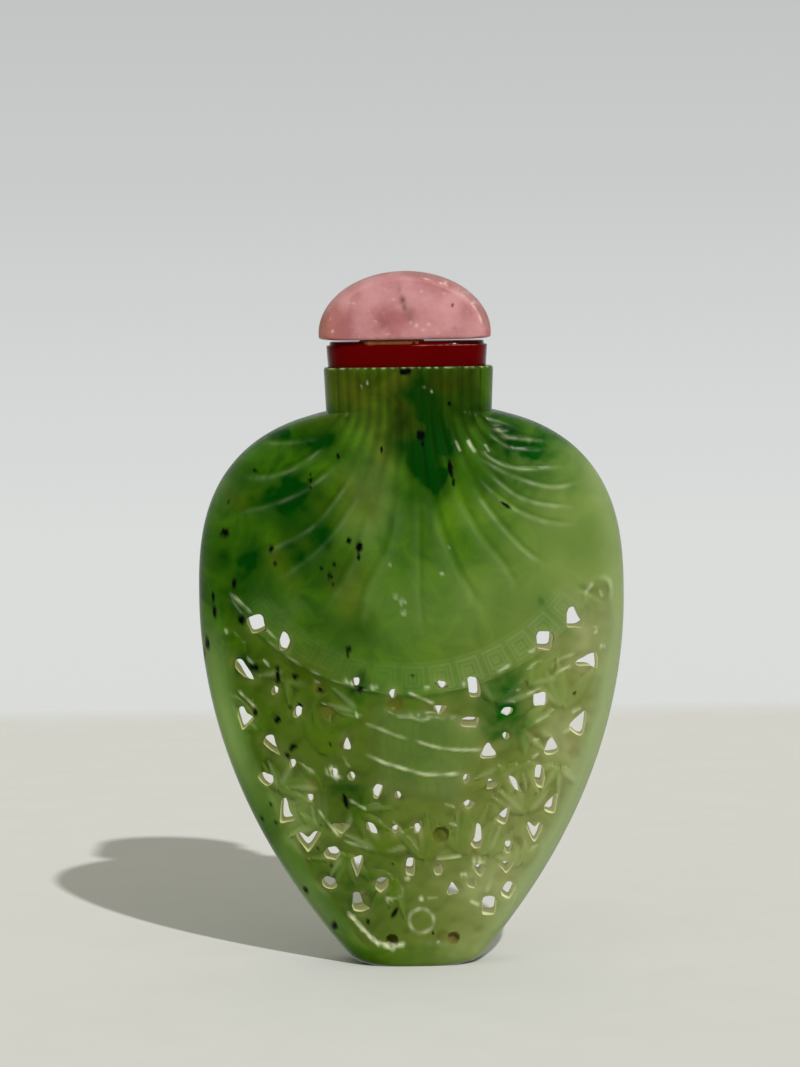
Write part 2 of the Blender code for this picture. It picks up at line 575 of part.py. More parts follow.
for old in list(bpy.data.objects):
    bpy.data.objects.remove(old, do_unlink=True)
build_bottle()
build_collar()
build_cement()
build_cap()
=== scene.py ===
"""Looks of the carved jade perfume bottle: the stone with its relief and openwork, and the stopper.

All sizes are in millimetres in the CAD frame: origin at the middle of the foot, +Z up, the carved
front towards -Y.  Meshes are turned to metres once, when they are finished.
"""

import math
import random

import bmesh
import bpy
import numpy as np
from mathutils import Matrix, Vector


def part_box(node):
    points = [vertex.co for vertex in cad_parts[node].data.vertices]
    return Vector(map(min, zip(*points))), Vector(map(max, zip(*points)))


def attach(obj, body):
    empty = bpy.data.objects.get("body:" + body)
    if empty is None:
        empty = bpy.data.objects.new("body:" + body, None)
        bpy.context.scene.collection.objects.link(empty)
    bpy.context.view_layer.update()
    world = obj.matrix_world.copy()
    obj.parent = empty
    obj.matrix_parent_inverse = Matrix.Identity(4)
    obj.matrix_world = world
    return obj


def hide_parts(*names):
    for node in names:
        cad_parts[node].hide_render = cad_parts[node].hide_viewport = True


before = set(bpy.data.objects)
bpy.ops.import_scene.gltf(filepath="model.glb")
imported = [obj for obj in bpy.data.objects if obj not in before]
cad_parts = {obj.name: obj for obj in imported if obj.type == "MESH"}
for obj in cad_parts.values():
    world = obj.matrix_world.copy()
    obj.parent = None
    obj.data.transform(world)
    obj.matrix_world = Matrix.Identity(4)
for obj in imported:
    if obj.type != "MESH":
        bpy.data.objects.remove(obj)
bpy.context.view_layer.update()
MM = 0.001


def node_box(name):
    """Lowest and highest corner of a CAD node, in millimetres."""
    low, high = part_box(name)
    return low / MM, high / MM


BOTTLE_HIGH = node_box("bottle")[1]
COLLAR_LOW, COLLAR_HIGH = node_box("stopper_collar")
CEMENT_LOW, CEMENT_HIGH = node_box("stopper_cement")
CAP_LOW, CAP_HIGH = node_box("stopper_cap")

# ---------------------------------------------------------------- the bottle's driving sizes
BODY_HALF_WIDTH = BOTTLE_HIGH.x
NECK_TOP_Z = BOTTLE_HIGH.z
WIDEST_Z = 40.0
SHOULDER_RISE = 20.6
SHOULDER_POWER = 2.7        # how square the shoulders are
SIDE_CURVE = 0.0095         # how fast the sides draw in below the widest place
SIDE_CURVE_4 = 4.9e-7       # and how much faster near the foot
FOOT_ROUND = 1.0
FOOT_PULL_WIDTH = 1.25      # how far the foot's rounding draws in the sides, and next the faces
FOOT_PULL_DEPTH = 0.35
BASE_HALF_DEPTH = 4.15
SLAB_SWELL = 0.25
SLAB_FULL_Z = 12.0
BELLY_SWELL = 1.90
BELLY_LOW_Z = 26.0
BELLY_FULL_Z = 50.0
NECK_HALF_DEPTH = 5.60
NECK_TAPER_Z = 54.0
BODY_POWER = 3.0            # how square the section is on the body, and next on the neck
NECK_POWER = 4.5
NECK_BASE_Z = 60.0
NECK_BLEND_Z = 56.0
NECK_HALF_WIDTH = 9.15
NECK_WAIST = 0.20
LIP_ROUND = 0.12

FLUTES = 14
FLUTE_REACH = 0.84          # where the outermost flute lies, against the neck's half width
FLUTE_DEPTH = 0.15
FAN_DEEPER = 1.7            # how much deeper the flutes are on the fan than on the neck
FAN_SILL_Z = 54.0
FAN_LOW_Z = 35.0
FAN_SPREAD = math.radians(75.0)     # how far the outermost flutes turn from straight down
FAN_BEND = 2.5              # how far under the neck the outermost flutes bend away
FAN_BEND_MIDDLE = 6.0       # how much lower the middle ones do
RIM_CROWDING = 1.6          # how closely the plain columns crowd towards the silhouette

BORE_RADIUS = 3.3
BORE_RINGS = (NECK_TOP_Z + 2.0, NECK_TOP_Z, 63.5, 62.4, 61.5)
CAVITY_HALF_WIDTH = 17.6
CAVITY_HALF_DEPTH = 3.7
CAVITY_MID_Z = 48.6
CAVITY_HALF_HEIGHT = 11.8
# Turns of the chamber's wall, in degrees from under the bore to its floor, and the number of its rings.
CAVITY_TURNS = (62.0, -84.0, 26)

SWAG_CENTRE_Z = 52.5
SWAG_RADIUS = 22.9
SWAG_HEIGHT = 3.2
SWAG_HALF_ANGLE = math.radians(57.0)

# Mesh density of the front and the back, in columns and rows.
FRONT_PER_FLUTE = 15
BACK_PER_FLUTE = 3
FRONT_RIM = 15
BACK_RIM = 5
NECK_ROWS = 20
FAN_ROWS = 96
LOW_ROWS = 160

# Openings of the pierced slab: (x, z, width, height, turn in degrees, outline).  A negative width mirrors
# the outline.
UNDER_BAND = [
    (-16.8, 37.5, 2.0, 2.2, 25, "square"), (-13.8, 35.3, 1.3, 2.2, -10, "round"),
    (-6.1, 31.1, 0.9, 0.9, 0, "round"), (-2.2, 29.8, 0.9, 1.0, 0, "round"),
    (3.1, 30.8, 1.4, 0.8, -15, "slot"), (6.5, 30.2, 1.5, 2.4, 12, "square"),
    (14.3, 35.3, 2.0, 2.1, 0, "square"), (17.6, 37.7, 2.2, 2.5, 0, "boot"),
    (18.7, 32.7, 3.0, 2.0, 0, "fin")]
RIM_LEFT = [
    (-18.1, 32.4, 3.2, 1.5, -42, "comma"), (-18.0, 27.2, 1.9, 2.3, 0, "flag"),
    (-15.2, 24.0, 2.6, 1.5, -50, "comma"), (-15.9, 20.6, 1.9, 1.3, -20, "round"),
    (-13.6, 17.0, 1.9, 2.6, 0, "boot"), (-11.6, 13.5, 2.6, 2.5, 0, "tooth"),
    (-9.4, 9.3, 1.9, 1.3, -20, "round"), (-6.0, 7.0, 2.1, 2.2, 0, "boot")]
RIM_RIGHT = [
    (18.0, 26.2, 2.0, 2.7, -30, "triangle"), (14.9, 23.7, 1.7, 1.8, 0, "triangle"),
    (13.5, 20.5, 1.4, 2.7, 0, "round"), (14.8, 17.4, 1.5, 2.4, -25, "triangle"),
    (13.0, 14.2, 2.1, 2.4, 0, "tooth"), (10.1, 8.2, 1.5, 1.9, -25, "square"),
    (8.0, 6.4, 1.8, 2.3, 0, "square")]
LEAF_LEFT = [
    (-14.8, 30.2, 0.8, 1.1, -30, "round"), (-12.4, 27.9, 0.9, 1.3, -30, "round"),
    (-13.1, 22.3, 0.9, 0.9, 0, "round"), (-11.3, 18.5, 0.9, 0.9, 0, "round"),
    (-7.2, 24.4, 0.9, 1.2, 0, "triangle"), (-6.7, 20.9, 0.9, 0.9, 0, "round"),
    (-8.6, 21.2, 0.8, 0.9, 0, "round"), (-7.9, 15.1, 1.9, 1.2, 180, "triangle"),
    (-8.9, 12.5, 1.9, 1.6, 0, "round"), (-6.3, 10.9, 1.3, 2.2, 180, "triangle"),
    (-3.9, 19.1, 1.1, 1.7, -20, "round"), (-1.7, 18.7, 0.8, 0.8, 0, "round"),
    (-4.7, 15.2, 1.8, 0.9, -45, "slot"), (-3.7, 8.9, 1.4, 1.8, -30, "round")]
LEAF_RIGHT = [
    (2.8, 28.0, 1.6, 0.9, 180, "triangle"), (6.0, 26.4, 2.2, 1.3, 0, "square"),
    (8.1, 23.3, 1.9, 1.7, 0, "triangle"), (5.6, 20.5, 0.8, 1.1, 0, "round"),
    (5.8, 17.7, 1.3, 0.9, 0, "slot"), (8.3, 19.7, 1.3, 1.2, 20, "triangle"),
    (10.9, 19.6, 2.1, 1.0, -48, "comma"), (10.2, 27.6, 1.5, 0.9, 15, "slot"),
    (9.9, 24.9, 0.9, 0.7, -20, "round"), (13.8, 28.8, 1.6, 1.3, 15, "square"),
    (9.8, 16.4, 1.4, 2.2, -30, "triangle"), (6.7, 14.0, -1.3, 2.7, 0, "boot"),
    (10.1, 12.8, 0.9, 1.4, 0, "round"), (9.9, 10.6, 1.7, 1.3, 180, "triangle"),
    (6.9, 10.2, 1.4, 1.3, 180, "triangle"), (6.1, 8.9, 1.1, 1.2, 0, "round"),
    (4.1, 8.4, 1.3, 1.2, 0, "triangle")]
MIDDLE_LOW = [
    (-2.1, 15.1, 0.8, 1.0, 0, "round"), (0.3, 15.0, 0.9, 1.2, 0, "round"),
    (-0.6, 10.9, 1.1, 2.3, 0, "square"), (2.4, 10.6, 1.1, 1.6, 0, "round")]
OPENINGS = UNDER_BAND + RIM_LEFT + RIM_RIGHT + LEAF_LEFT + LEAF_RIGHT + MIDDLE_LOW

# Corners of each outline, in halves of the opening's width and height.  The boot's toe points right, the
# tooth's root down and the fin left.
OUTLINES = {
    "round": ((1.0, 0.0), (0.5, 0.9), (-0.5, 0.9), (-1.0, 0.0), (-0.5, -0.9), (0.5, -0.9)),
    "slot": ((1.0, 0.0), (0.3, 0.9), (-0.4, 0.9), (-1.0, 0.0), (-0.3, -0.9), (0.4, -0.9)),
    "triangle": ((0.15, 1.0), (-0.15, 1.0), (-1.0, -0.6), (-0.7, -1.0), (0.7, -1.0), (1.0, -0.6)),
    "square": ((0.95, 0.8), (-0.8, 1.0), (-1.0, -0.8), (0.8, -1.0)),
    "boot": ((-0.1, 1.0), (-0.85, 0.95), (-0.9, -0.95), (0.3, -0.95), (1.0, -0.6), (0.25, -0.1)),
    "tooth": ((0.0, 0.45), (-0.6, 1.0), (-1.0, 0.7), (0.0, -1.0), (1.0, 0.8), (0.55, 1.0)),
    "fin": ((0.7, 1.0), (0.2, 0.8), (-1.0, -0.1), (-0.8, -0.4), (0.3, -0.45), (1.0, -1.0)),
    "comma": ((1.0, 0.0), (0.1, 0.5), (-0.6, 1.0), (-1.0, 0.2), (-0.7, -0.8), (0.3, -0.6)),
    "flag": ((-0.9, 1.0), (-1.0, 0.2), (-0.6, -1.0), (0.0, -0.9), (1.0, -0.1), (0.0, 0.4), (-0.3, 1.0))}

# Sprays of slender blades: (x, z, heading from +X in degrees, spread, blades, length, width).
SPRAYS = [
    (-18.2, 35.6, 215, 110, 4, 3.4, 1.2), (-13.4, 32.6, 235, 130, 5, 4.2, 1.3),
    (-10.6, 30.8, 200, 110, 4, 4.2, 1.3), (-16.6, 25.8, 120, 90, 4, 3.6, 1.2),
    (-9.8, 23.2, 85, 70, 5, 5.2, 1.5), (-5.6, 27.4, 150, 110, 5, 4.4, 1.3),
    (-14.8, 19.2, 60, 130, 5, 3.8, 1.2), (-9.8, 19.4, 205, 150, 5, 4.4, 1.3),
    (-6.4, 17.4, 320, 150, 5, 4.2, 1.2), (-10.2, 15.2, 140, 90, 4, 3.4, 1.2),
    (-7.4, 12.4, 250, 120, 5, 3.8, 1.2), (-3.8, 12.4, 75, 130, 5, 4.6, 1.3),
    (-2.2, 9.6, 225, 120, 5, 4.2, 1.3), (0.8, 11.6, 90, 90, 6, 5.2, 1.1), (4.8, 12.0, 75, 80, 5, 6.0, 1.3),
    (7.6, 11.8, 80, 100, 5, 4.4, 1.2), (8.8, 28.4, 65, 110, 5, 5.2, 1.5),
    (12.4, 30.6, 40, 110, 5, 4.6, 1.4), (16.2, 27.8, 95, 90, 6, 5.4, 1.5),
    (11.8, 25.8, 340, 140, 5, 4.2, 1.3), (11.6, 22.0, 280, 120, 5, 4.2, 1.3),
    (15.6, 21.6, 250, 110, 4, 4.0, 1.2), (9.4, 21.6, 240, 90, 4, 4.0, 1.3),
    (11.8, 16.4, 95, 120, 5, 4.0, 1.2), (11.2, 10.6, 100, 120, 5, 3.6, 1.2),
    (-19.6, 29.8, 275, 70, 3, 4.0, 1.2)]

# Fine raised lines whose tops are paler, partly abrasion and partly painted glint: (spots, width, height,
# share of that pale colour).
STROKES = [
    (((-5.2, 26.5), (-3.5, 25.9), (-2.1, 25.3), (-0.6, 24.8)), 0.5, 0.08, 0.55),
    (((0.2, 24.6), (2.4, 23.9), (4.3, 23.6), (7.4, 23.5)), 0.5, 0.10, 0.9),
    (((-5.2, 23.2), (-3.3, 22.3), (-2.0, 21.9), (0.9, 21.0), (2.6, 20.9), (5.2, 21.0)), 0.55, 0.12, 1.0),
    (((-0.6, 29.9), (0.9, 29.2), (2.3, 28.5)), 0.5, 0.14, 1.0),
    (((-1.9, 27.3), (0.0, 27.1), (0.9, 26.8), (1.9, 27.2)), 0.5, 0.08, 0.6),
    (((3.2, 17.7), (4.4, 17.3)), 0.4, 0.06, 0.8), (((3.7, 15.5), (4.5, 15.4)), 0.4, 0.06, 0.7),
    (((2.2, 11.7), (4.2, 11.9), (5.1, 12.1)), 0.45, 0.10, 0.9),
    (((9.1, 31.9), (10.4, 32.7)), 0.5, 0.10, 0.8), (((12.5, 34.0), (13.1, 34.3)), 0.4, 0.08, 0.9),
    (((12.3, 32.1), (13.2, 32.8), (14.0, 33.1)), 0.4, 0.08, 0.6),
    (((14.8, 32.1), (15.7, 33.1), (17.5, 33.7)), 0.5, 0.08, 0.5),
    (((14.9, 31.0), (15.7, 31.8), (17.1, 32.4)), 0.45, 0.10, 0.7),
    (((12.2, 29.4), (13.8, 30.1)), 0.45, 0.10, 0.9), (((10.2, 28.7), (11.0, 28.7)), 0.4, 0.06, 0.6),
    (((17.1, 27.3), (18.1, 27.7)), 0.5, 0.10, 0.8), (((16.1, 25.1), (17.0, 25.5)), 0.45, 0.08, 0.6),
    (((13.1, 26.4), (14.7, 27.1)), 0.5, 0.08, 0.5), (((12.7, 22.4), (13.5, 23.0)), 0.45, 0.08, 0.6),
    (((-17.8, 33.7), (-17.0, 33.0)), 0.4, 0.10, 0.9), (((-16.1, 33.6), (-15.4, 32.9)), 0.4, 0.08, 0.7),
    (((-18.8, 30.1), (-17.0, 28.3)), 0.45, 0.12, 0.8), (((-10.6, 31.1), (-9.9, 31.0)), 0.4, 0.10, 0.9),
    (((-10.4, 17.3), (-9.4, 15.8), (-8.1, 14.2)), 0.45, 0.12, 0.9),
    (((-7.0, 18.2), (-5.1, 17.2)), 0.45, 0.10, 0.8), (((-7.7, 13.8), (-4.9, 12.9)), 0.5, 0.08, 0.6),
    (((18.6, 40.2), (19.5, 41.4)), 0.6, 0.14, 0.9),
    (((19.9, 41.8), (20.9, 41.8), (21.4, 41.1), (21.4, 39.4)), 0.7, 0.14, 0.35),
    (((20.2, 40.6), (20.5, 39.7)), 0.4, 0.08, 0.6), (((1.2, 7.4), (2.4, 7.5)), 0.5, 0.06, 0.6),
    (((5.8, 7.1), (6.9, 6.5)), 0.5, 0.10, 0.9), (((7.6, 7.8), (8.2, 9.3)), 0.7, 0.12, 0.5),
    (((-1.5, 8.9), (-1.5, 7.8), (-3.1, 7.3)), 0.4, 0.04, 0.35),
    (((-7.6, 23.0), (-7.0, 21.8)), 0.4, 0.05, 0.5),
    (((-19.6, 40.6), (-18.9, 40.3), (-17.2, 38.7)), 0.5, 0.14, 0.8),
    (((4.9, 56.9), (5.4, 55.7)), 0.4, 0.08, 0.9),
    (((6.2, 57.0), (6.5, 56.3), (7.0, 55.6)), 0.55, 0.10, 1.0),
    (((8.0, 56.5), (8.5, 55.6)), 0.4, 0.08, 0.8),
    (((9.3, 58.5), (9.5, 57.9), (10.3, 57.7)), 0.45, 0.06, 0.9),
    (((-15.9, 37.1), (-14.4, 35.7)), 0.35, 0.10, 0.6)]

# Gathered folds that sweep out of the neck: (spots, ridge width, height, crease side, share of pale abrasion
# and painted glint).
FOLDS = [
    (((-9.4, 57.3), (-13.3, 56.8), (-16.2, 56.9)), 0.9, 0.10, 1, 0.30),
    (((-8.8, 56.8), (-11.4, 54.6), (-14.6, 53.3), (-18.1, 53.2)), 1.1, 0.14, 1, 0.40),
    (((-7.2, 54.8), (-11.0, 51.9), (-14.7, 50.3), (-18.9, 49.3)), 1.1, 0.14, 1, 0.38),
    (((-5.8, 53.6), (-8.6, 49.8), (-11.1, 47.4), (-16.4, 44.8)), 1.0, 0.12, 1, 0.30),
    (((-5.1, 51.8), (-7.1, 48.4), (-10.5, 44.8), (-14.7, 41.9)), 1.2, 0.12, 1, 0.22),
    (((-3.7, 50.4), (-5.8, 44.4), (-7.6, 41.2), (-9.6, 38.7)), 1.5, 0.12, 1, 0.10),
    (((-1.1, 51.4), (-2.1, 45.4), (-4.4, 41.1), (-5.4, 36.2)), 1.6, 0.14, 1, 0.06),
    (((0.7, 51.4), (0.6, 41.6), (0.7, 39.1), (1.1, 34.9)), 1.1, 0.12, -1, 0.05),
    (((1.9, 51.6), (2.8, 47.6), (4.6, 42.8), (7.6, 37.6)), 1.7, 0.15, -1, 0.08),
    (((4.6, 51.4), (7.1, 46.7), (9.6, 43.5), (11.4, 39.9)), 1.4, 0.12, -1, 0.08),
    (((6.4, 52.2), (8.6, 48.9), (11.8, 45.2), (14.8, 42.9)), 1.1, 0.12, -1, 0.28),
    (((7.2, 53.0), (9.0, 51.0), (11.5, 49.2), (14.7, 47.9), (17.8, 47.7)), 1.0, 0.13, -1, 0.34),
    (((7.8, 53.9), (11.1, 51.0), (14.0, 49.9), (17.8, 49.5)), 0.9, 0.12, -1, 0.30),
    (((7.4, 55.0), (10.8, 53.0), (15.1, 51.7), (18.4, 52.3)), 0.9, 0.14, -1, 0.45),
    (((7.2, 56.0), (9.7, 54.3), (12.3, 53.7), (16.8, 53.9)), 0.8, 0.14, -1, 0.42),
    (((8.4, 57.6), (10.8, 56.0), (14.6, 55.7)), 0.8, 0.10, -1, 0.25),
    (((8.8, 58.8), (10.1, 57.3), (12.3, 56.9), (14.6, 56.6)), 0.8, 0.14, -1, 0.55)]

# Shallow pits that don't go through: (x, z, radius, depth, tone), where tone 1 is olive and 0 is pinkish.
PITS = [
    (-9.2, 27.9, 0.9, 0.35, 1.0), (-10.1, 30.4, 0.7, 0.35, 1.0), (-1.9, 28.5, 0.9, 0.30, 1.0),
    (-11.0, 20.0, 0.7, 0.20, 0.8), (13.0, 25.1, 0.8, 0.30, 0.5), (17.1, 24.2, 0.8, 0.15, 0.1),
    (17.2, 22.9, 0.7, 0.15, 0.1), (6.2, 12.7, 0.6, 0.15, 0.0), (2.9, 3.1, 0.7, 0.15, 1.0),
    (11.0, 13.4, 0.6, 0.15, 0.2), (9.2, 9.6, 0.7, 0.15, 0.2)]
# Blind drill holes: x, z, radius, depth and tone.
DRILLED = [(-2.6, 2.8, 0.62, 1.2, 1.0), (4.0, 3.0, 0.60, 0.7, 0.35), (2.8, 14.3, 0.80, 0.7, 1.0)]
RING_MARK = (0.6, 5.0, 1.32, 0.36)      # trial cut of a tube drill: x, z, radius, width
CHIP_EDGE = ((-7.2, 5.7), (-6.3, 4.8), (-5.2, 3.5), (-4.2, 2.6), (-3.5, 2.4), (-2.7, 2.1), (-1.6, 2.5))
# Small pale spots, partly abrasion and partly painted glints: (x, z, radius).
ABRASION_AND_GLINT_SPOTS = [
    (-1.7, 40.4, 0.3), (-1.0, 39.7, 0.35), (-0.9, 38.6, 0.3), (-2.3, 43.8, 0.2), (3.3, 42.6, 0.2),
    (4.0, 45.7, 0.2), (-8.9, 21.4, 0.6), (-8.3, 20.8, 0.5), (6.8, 11.2, 0.7), (5.2, 9.9, 0.35),
    (10.2, 13.4, 0.35), (0.6, 7.4, 0.3), (11.3, 29.9, 0.2), (-2.9, 7.3, 0.4), (-0.9, 9.6, 0.3),
    (-20.0, 36.6, 0.2), (-7.2, 31.2, 0.3), (-6.6, 30.9, 0.3), (-4.2, 30.5, 0.4), (1.5, 30.3, 0.3),
    (5.3, 30.7, 0.3), (-6.0, 27.5, 0.35), (-5.0, 62.8, 0.16), (-4.4, 63.2, 0.14), (1.6, 62.6, 0.14),
    (2.4, 62.2, 0.14), (-11.0, 21.4, 0.25), (19.7, 36.2, 0.4), (20.5, 34.4, 0.3)]


# ---------------------------------------------------------------- shape functions on arrays
def ease(low, high, value):
    """Ease from 0 at low to 1 at high."""
    t = np.clip((value - low) / (high - low), 0.0, 1.0)
    return t * t * (3.0 - 2.0 * t)


def bell(offset, width):
    """1 in the middle, falling softly to nothing over about twice the width."""
    return np.exp(-(offset / width) ** 2)


def oval(share, power):
    """Height of a superellipse of unit size at a share of its half width."""
    return (1.0 - share ** power) ** (1.0 / power)


def turned(x, z, middle, degrees):
    """Distances from a middle, along and across a direction given in degrees from +X."""
    c, s = math.cos(math.radians(degrees)), math.sin(math.radians(degrees))
    dx, dz = x - middle[0], z - middle[1]
    return dx * c + dz * s, dz * c - dx * s


def foot_pull(z):
    """Share of the foot's rounding at height z."""
    t = np.clip(z / FOOT_ROUND, 0.0, 1.0)
    return 1.0 - np.sqrt(1.0 - (1.0 - t) ** 2)


def half_width(z):
    """Half the outline's width at height z."""
    neck = NECK_HALF_WIDTH - NECK_WAIST * (1.0 - (z - NECK_BASE_Z) / (NECK_TOP_Z - NECK_BASE_Z))
    shoulder = BODY_HALF_WIDTH * oval(np.clip((z - WIDEST_Z) / SHOULDER_RISE, 0.0, 1.0), SHOULDER_POWER)
    drop = WIDEST_Z - z
    side = BODY_HALF_WIDTH - SIDE_CURVE * drop ** 2 - SIDE_CURVE_4 * drop ** 4
    side = side - FOOT_PULL_WIDTH * foot_pull(z)
    return np.where(z >= NECK_BASE_Z, neck, np.where(z >= WIDEST_Z, shoulder, side))


def shoulder_z(x):
    """Height of the shoulder's outline at distance x from the axis."""
    return WIDEST_Z + SHOULDER_RISE * oval(np.abs(x) / BODY_HALF_WIDTH, SHOULDER_POWER)


def half_depth(z):
    """Half the thickness on the axis at height z."""
    belly = (BASE_HALF_DEPTH + SLAB_SWELL * ease(0.0, SLAB_FULL_Z, z)
             + BELLY_SWELL * ease(BELLY_LOW_Z, BELLY_FULL_Z, z))
    full = BASE_HALF_DEPTH + SLAB_SWELL + BELLY_SWELL
    belly = belly - (full - NECK_HALF_DEPTH) * ease(NECK_TAPER_Z, NECK_BASE_Z, z)
    return belly - FOOT_PULL_DEPTH * foot_pull(z)


def skin_depth(x, z):
    """Distance of the plain surface from the middle plane."""
    power = BODY_POWER + (NECK_POWER - BODY_POWER) * ease(NECK_BLEND_Z, NECK_BASE_Z, z)
    return half_depth(z) * oval(np.clip(np.abs(x) / half_width(z), 0.0, 1.0), power)


def bow(start, bend, end, way):
    """Place at a share of the way along a bowed line that is drawn towards its bend."""
    return start * (1 - way) ** 2 + bend * 2 * way * (1 - way) + end * way ** 2


def fan_path(across, way):
    """Point (x, z) of a flute by its place across the neck, -1 to 1, and its way down to the fan's edge."""
    start_x = across * half_width(np.full_like(across, NECK_BASE_Z))
    spread = FAN_SPREAD * across / FLUTE_REACH
    end_z = FAN_SILL_Z - (FAN_SILL_Z - FAN_LOW_Z) * np.cos(spread)
    end_x = np.sin(spread) * half_width(end_z)
    bend_z = NECK_BASE_Z - FAN_BEND - FAN_BEND_MIDDLE * (1.0 - np.abs(across) / FLUTE_REACH)
    return bow(start_x, start_x, end_x, way), bow(NECK_BASE_Z, bend_z, end_z, way)


def rim_path(across, way):
    """Point (x, z) of a plain column between the outermost flute and the silhouette."""
    flute_x, flute_z = fan_path(np.full_like(across, FLUTE_REACH), way)
    start_x = half_width(np.array(NECK_BASE_Z))
    edge_x = start_x + way * (half_width(np.array(FAN_SILL_Z)) - start_x)
    share = np.clip((np.abs(across) - FLUTE_REACH) / (1.0 - FLUTE_REACH), 0.0, 1.0)
    z = flute_z + (shoulder_z(edge_x) - flute_z) * share
    out = 1.0 - (1.0 - flute_x / half_width(flute_z)) * (1.0 - share) ** RIM_CROWDING
    return np.copysign(out * half_width(z), across), z


def smooth_line(spots, steps=4):
    """The spots with a smooth curve through them (Catmull-Rom)."""
    if len(spots) < 3:
        return list(spots)
    points = [np.array(p) for p in (spots[0],) + tuple(spots) + (spots[-1],)]
    made = []
    for a, b, c, d in zip(points, points[1:], points[2:], points[3:]):
        for k in range(steps):
            t = k / steps
            bend = 2 * a - 5 * b + 4 * c - d + t * (3 * (b - c) + d - a)
            made.append(tuple(b + 0.5 * t * (c - a + t * bend)))
    return made + [tuple(points[-1])]


def line_distance(x, z, spots, reach=2.0):
    """Distance of each point from a line through the spots, below 0 on its left, and how far along it the
    nearest place is.

    Points further than the reach from the line's box count as far away."""
    spots = smooth_line(spots)
    corners = np.array(spots)
    low, high = corners.min(axis=0) - reach, corners.max(axis=0) + reach
    near = (x > low[0]) & (x < high[0]) & (z > low[1]) & (z < high[1])
    nx, nz = x[near], z[near]
    best, along = np.full(nx.shape, 1e3), np.zeros(nx.shape)
    total = sum(math.dist(a, b) for a, b in zip(spots, spots[1:]))
    gone = 0.0
    for a, b in zip(spots, spots[1:]):
        length = math.dist(a, b)
        ux, uz = (b[0] - a[0]) / length, (b[1] - a[1]) / length
        t = np.clip((nx - a[0]) * ux + (nz - a[1]) * uz, 0.0, length)
        d = np.hypot(nx - a[0] - t * ux, nz - a[1] - t * uz)
        side = np.sign((nx - a[0]) * uz - (nz - a[1]) * ux)
        closer = d < np.abs(best)
        best = np.where(closer, np.where(side < 0.0, -d, d), best)
        along = np.where(closer, (gone + t) / total, along)
        gone += length
    distance, share = np.full(x.shape, 1e3), np.zeros(x.shape)
    distance[near], share[near] = best, along
    return distance, share


def waves(x, z, size, seed):
    """Soft uneven noise from about -1 to 1, about `size` millimetres across."""
    rng = np.random.default_rng(seed)
    total = np.zeros(x.shape)
    for _ in range(7):
        turn = rng.uniform(0.0, 2.0 * math.pi)
        k = 2.0 * math.pi / (size * rng.uniform(0.7, 1.6))
        total += np.sin(k * (x * math.cos(turn) + z * math.sin(turn)) + rng.uniform(0.0, 6.28))
    return total / 4.0


def patchy(x, z, size, seed, middle, swing, low=0.0, high=1.0):
    """Uneven strength about a middle value, held between two limits; it breaks up the pale abrasion and
    painted glints.
    """
    return np.clip(middle + swing * waves(x, z, size, seed), low, high)


def blade(x, z, stalk, length, width, heading, bend):
    """A slender bowed blade: its cross-section share, 1 on its crest, 0 at its edge and less outside, and its
    place along."""
    along, across = turned(x, z, stalk, heading)
    share = np.clip(along / length, 0.0, 1.0)
    across = across - bend * share * share
    reach = 0.5 * width * np.sin(math.pi * (0.08 + 0.92 * share) ** 0.75) + 1e-6
    inside = np.clip(1.0 - (across / reach) ** 2, -1.0, 1.0)
    return np.where((along > 0.0) & (along < length), inside, -1.0), share


# ---------------------------------------------------------------- relief of the front
FRET_COUNT = 13
FRET_REACH = 0.95 * SWAG_HALF_ANGLE
FRET_PITCH = 2.0 * FRET_REACH / FRET_COUNT
FRET_MIDDLE = 0.53 * SWAG_HEIGHT
FRET_LINE_SPACING = 0.5
KEY_EDGES = (1.45, 1.15, 0.9, 0.6)      # half sizes between which a square key slopes up and down again
BEAD_WIDTH = 0.45
BEAD_HEIGHT = 0.10
KEY_HEIGHT = 0.06
BAND_HEIGHT = 0.05


def swag_coordinates(x, z):
    """Angle from straight down and rise above the band's lower edge."""
    angle = np.arctan2(x, SWAG_CENTRE_Z - z)
    return angle, SWAG_RADIUS - np.hypot(x, SWAG_CENTRE_Z - z)


def fret_place(x, z):
    """Distances from the middle of the nearest square key, across and up, and how strongly it shows."""
    angle, rise = swag_coordinates(x, z)
    across = np.abs((angle / FRET_PITCH + 0.5) % 1.0 - 0.5) * FRET_PITCH * SWAG_RADIUS
    up = np.abs(rise - FRET_MIDDLE)
    within = ease(FRET_REACH + 0.05, FRET_REACH - 0.05, np.abs(angle))
    shows = within * ease(-0.1, 0.5, rise) * ease(SWAG_HEIGHT + 0.5, SWAG_HEIGHT - 0.1, rise)
    return across, up, shows * (0.20 + 0.80 * ease(-4.0, 7.0, x))


def band_relief(x, z):
    """The key-fret band: bead below, low square keys and a faint rail above; height, and the pale abrasion
    and painted glint along the bead.
    """
    angle, rise = swag_coordinates(x, z)
    within = ease(SWAG_HALF_ANGLE + 0.02, SWAG_HALF_ANGLE - 0.02, np.abs(angle))
    bead = np.clip(1.0 - (rise / (0.5 * BEAD_WIDTH)) ** 2, 0.0, 1.0) * within
    across, up, shows = fret_place(x, z)
    square = np.maximum(across, up)
    key = ease(*KEY_EDGES[:2], square) - ease(*KEY_EDGES[2:], square)
    height = BEAD_HEIGHT * bead + KEY_HEIGHT * key * shows + BAND_HEIGHT * within * ease(0.0, 0.5, rise)
    height = height - BAND_HEIGHT * within * ease(SWAG_HEIGHT - 0.2, SWAG_HEIGHT + 0.3, rise)
    # Pale colour along the bead, partly abrasion and partly painted glints, more on the left.
    bead_abrasion_glint = (0.08 + 0.36 * ease(0.0, -8.0, x)) * patchy(x, z, 1.7, 43, 0.30, 0.8)
    return height, bead_abrasion_glint * bell(rise, 0.12) * within


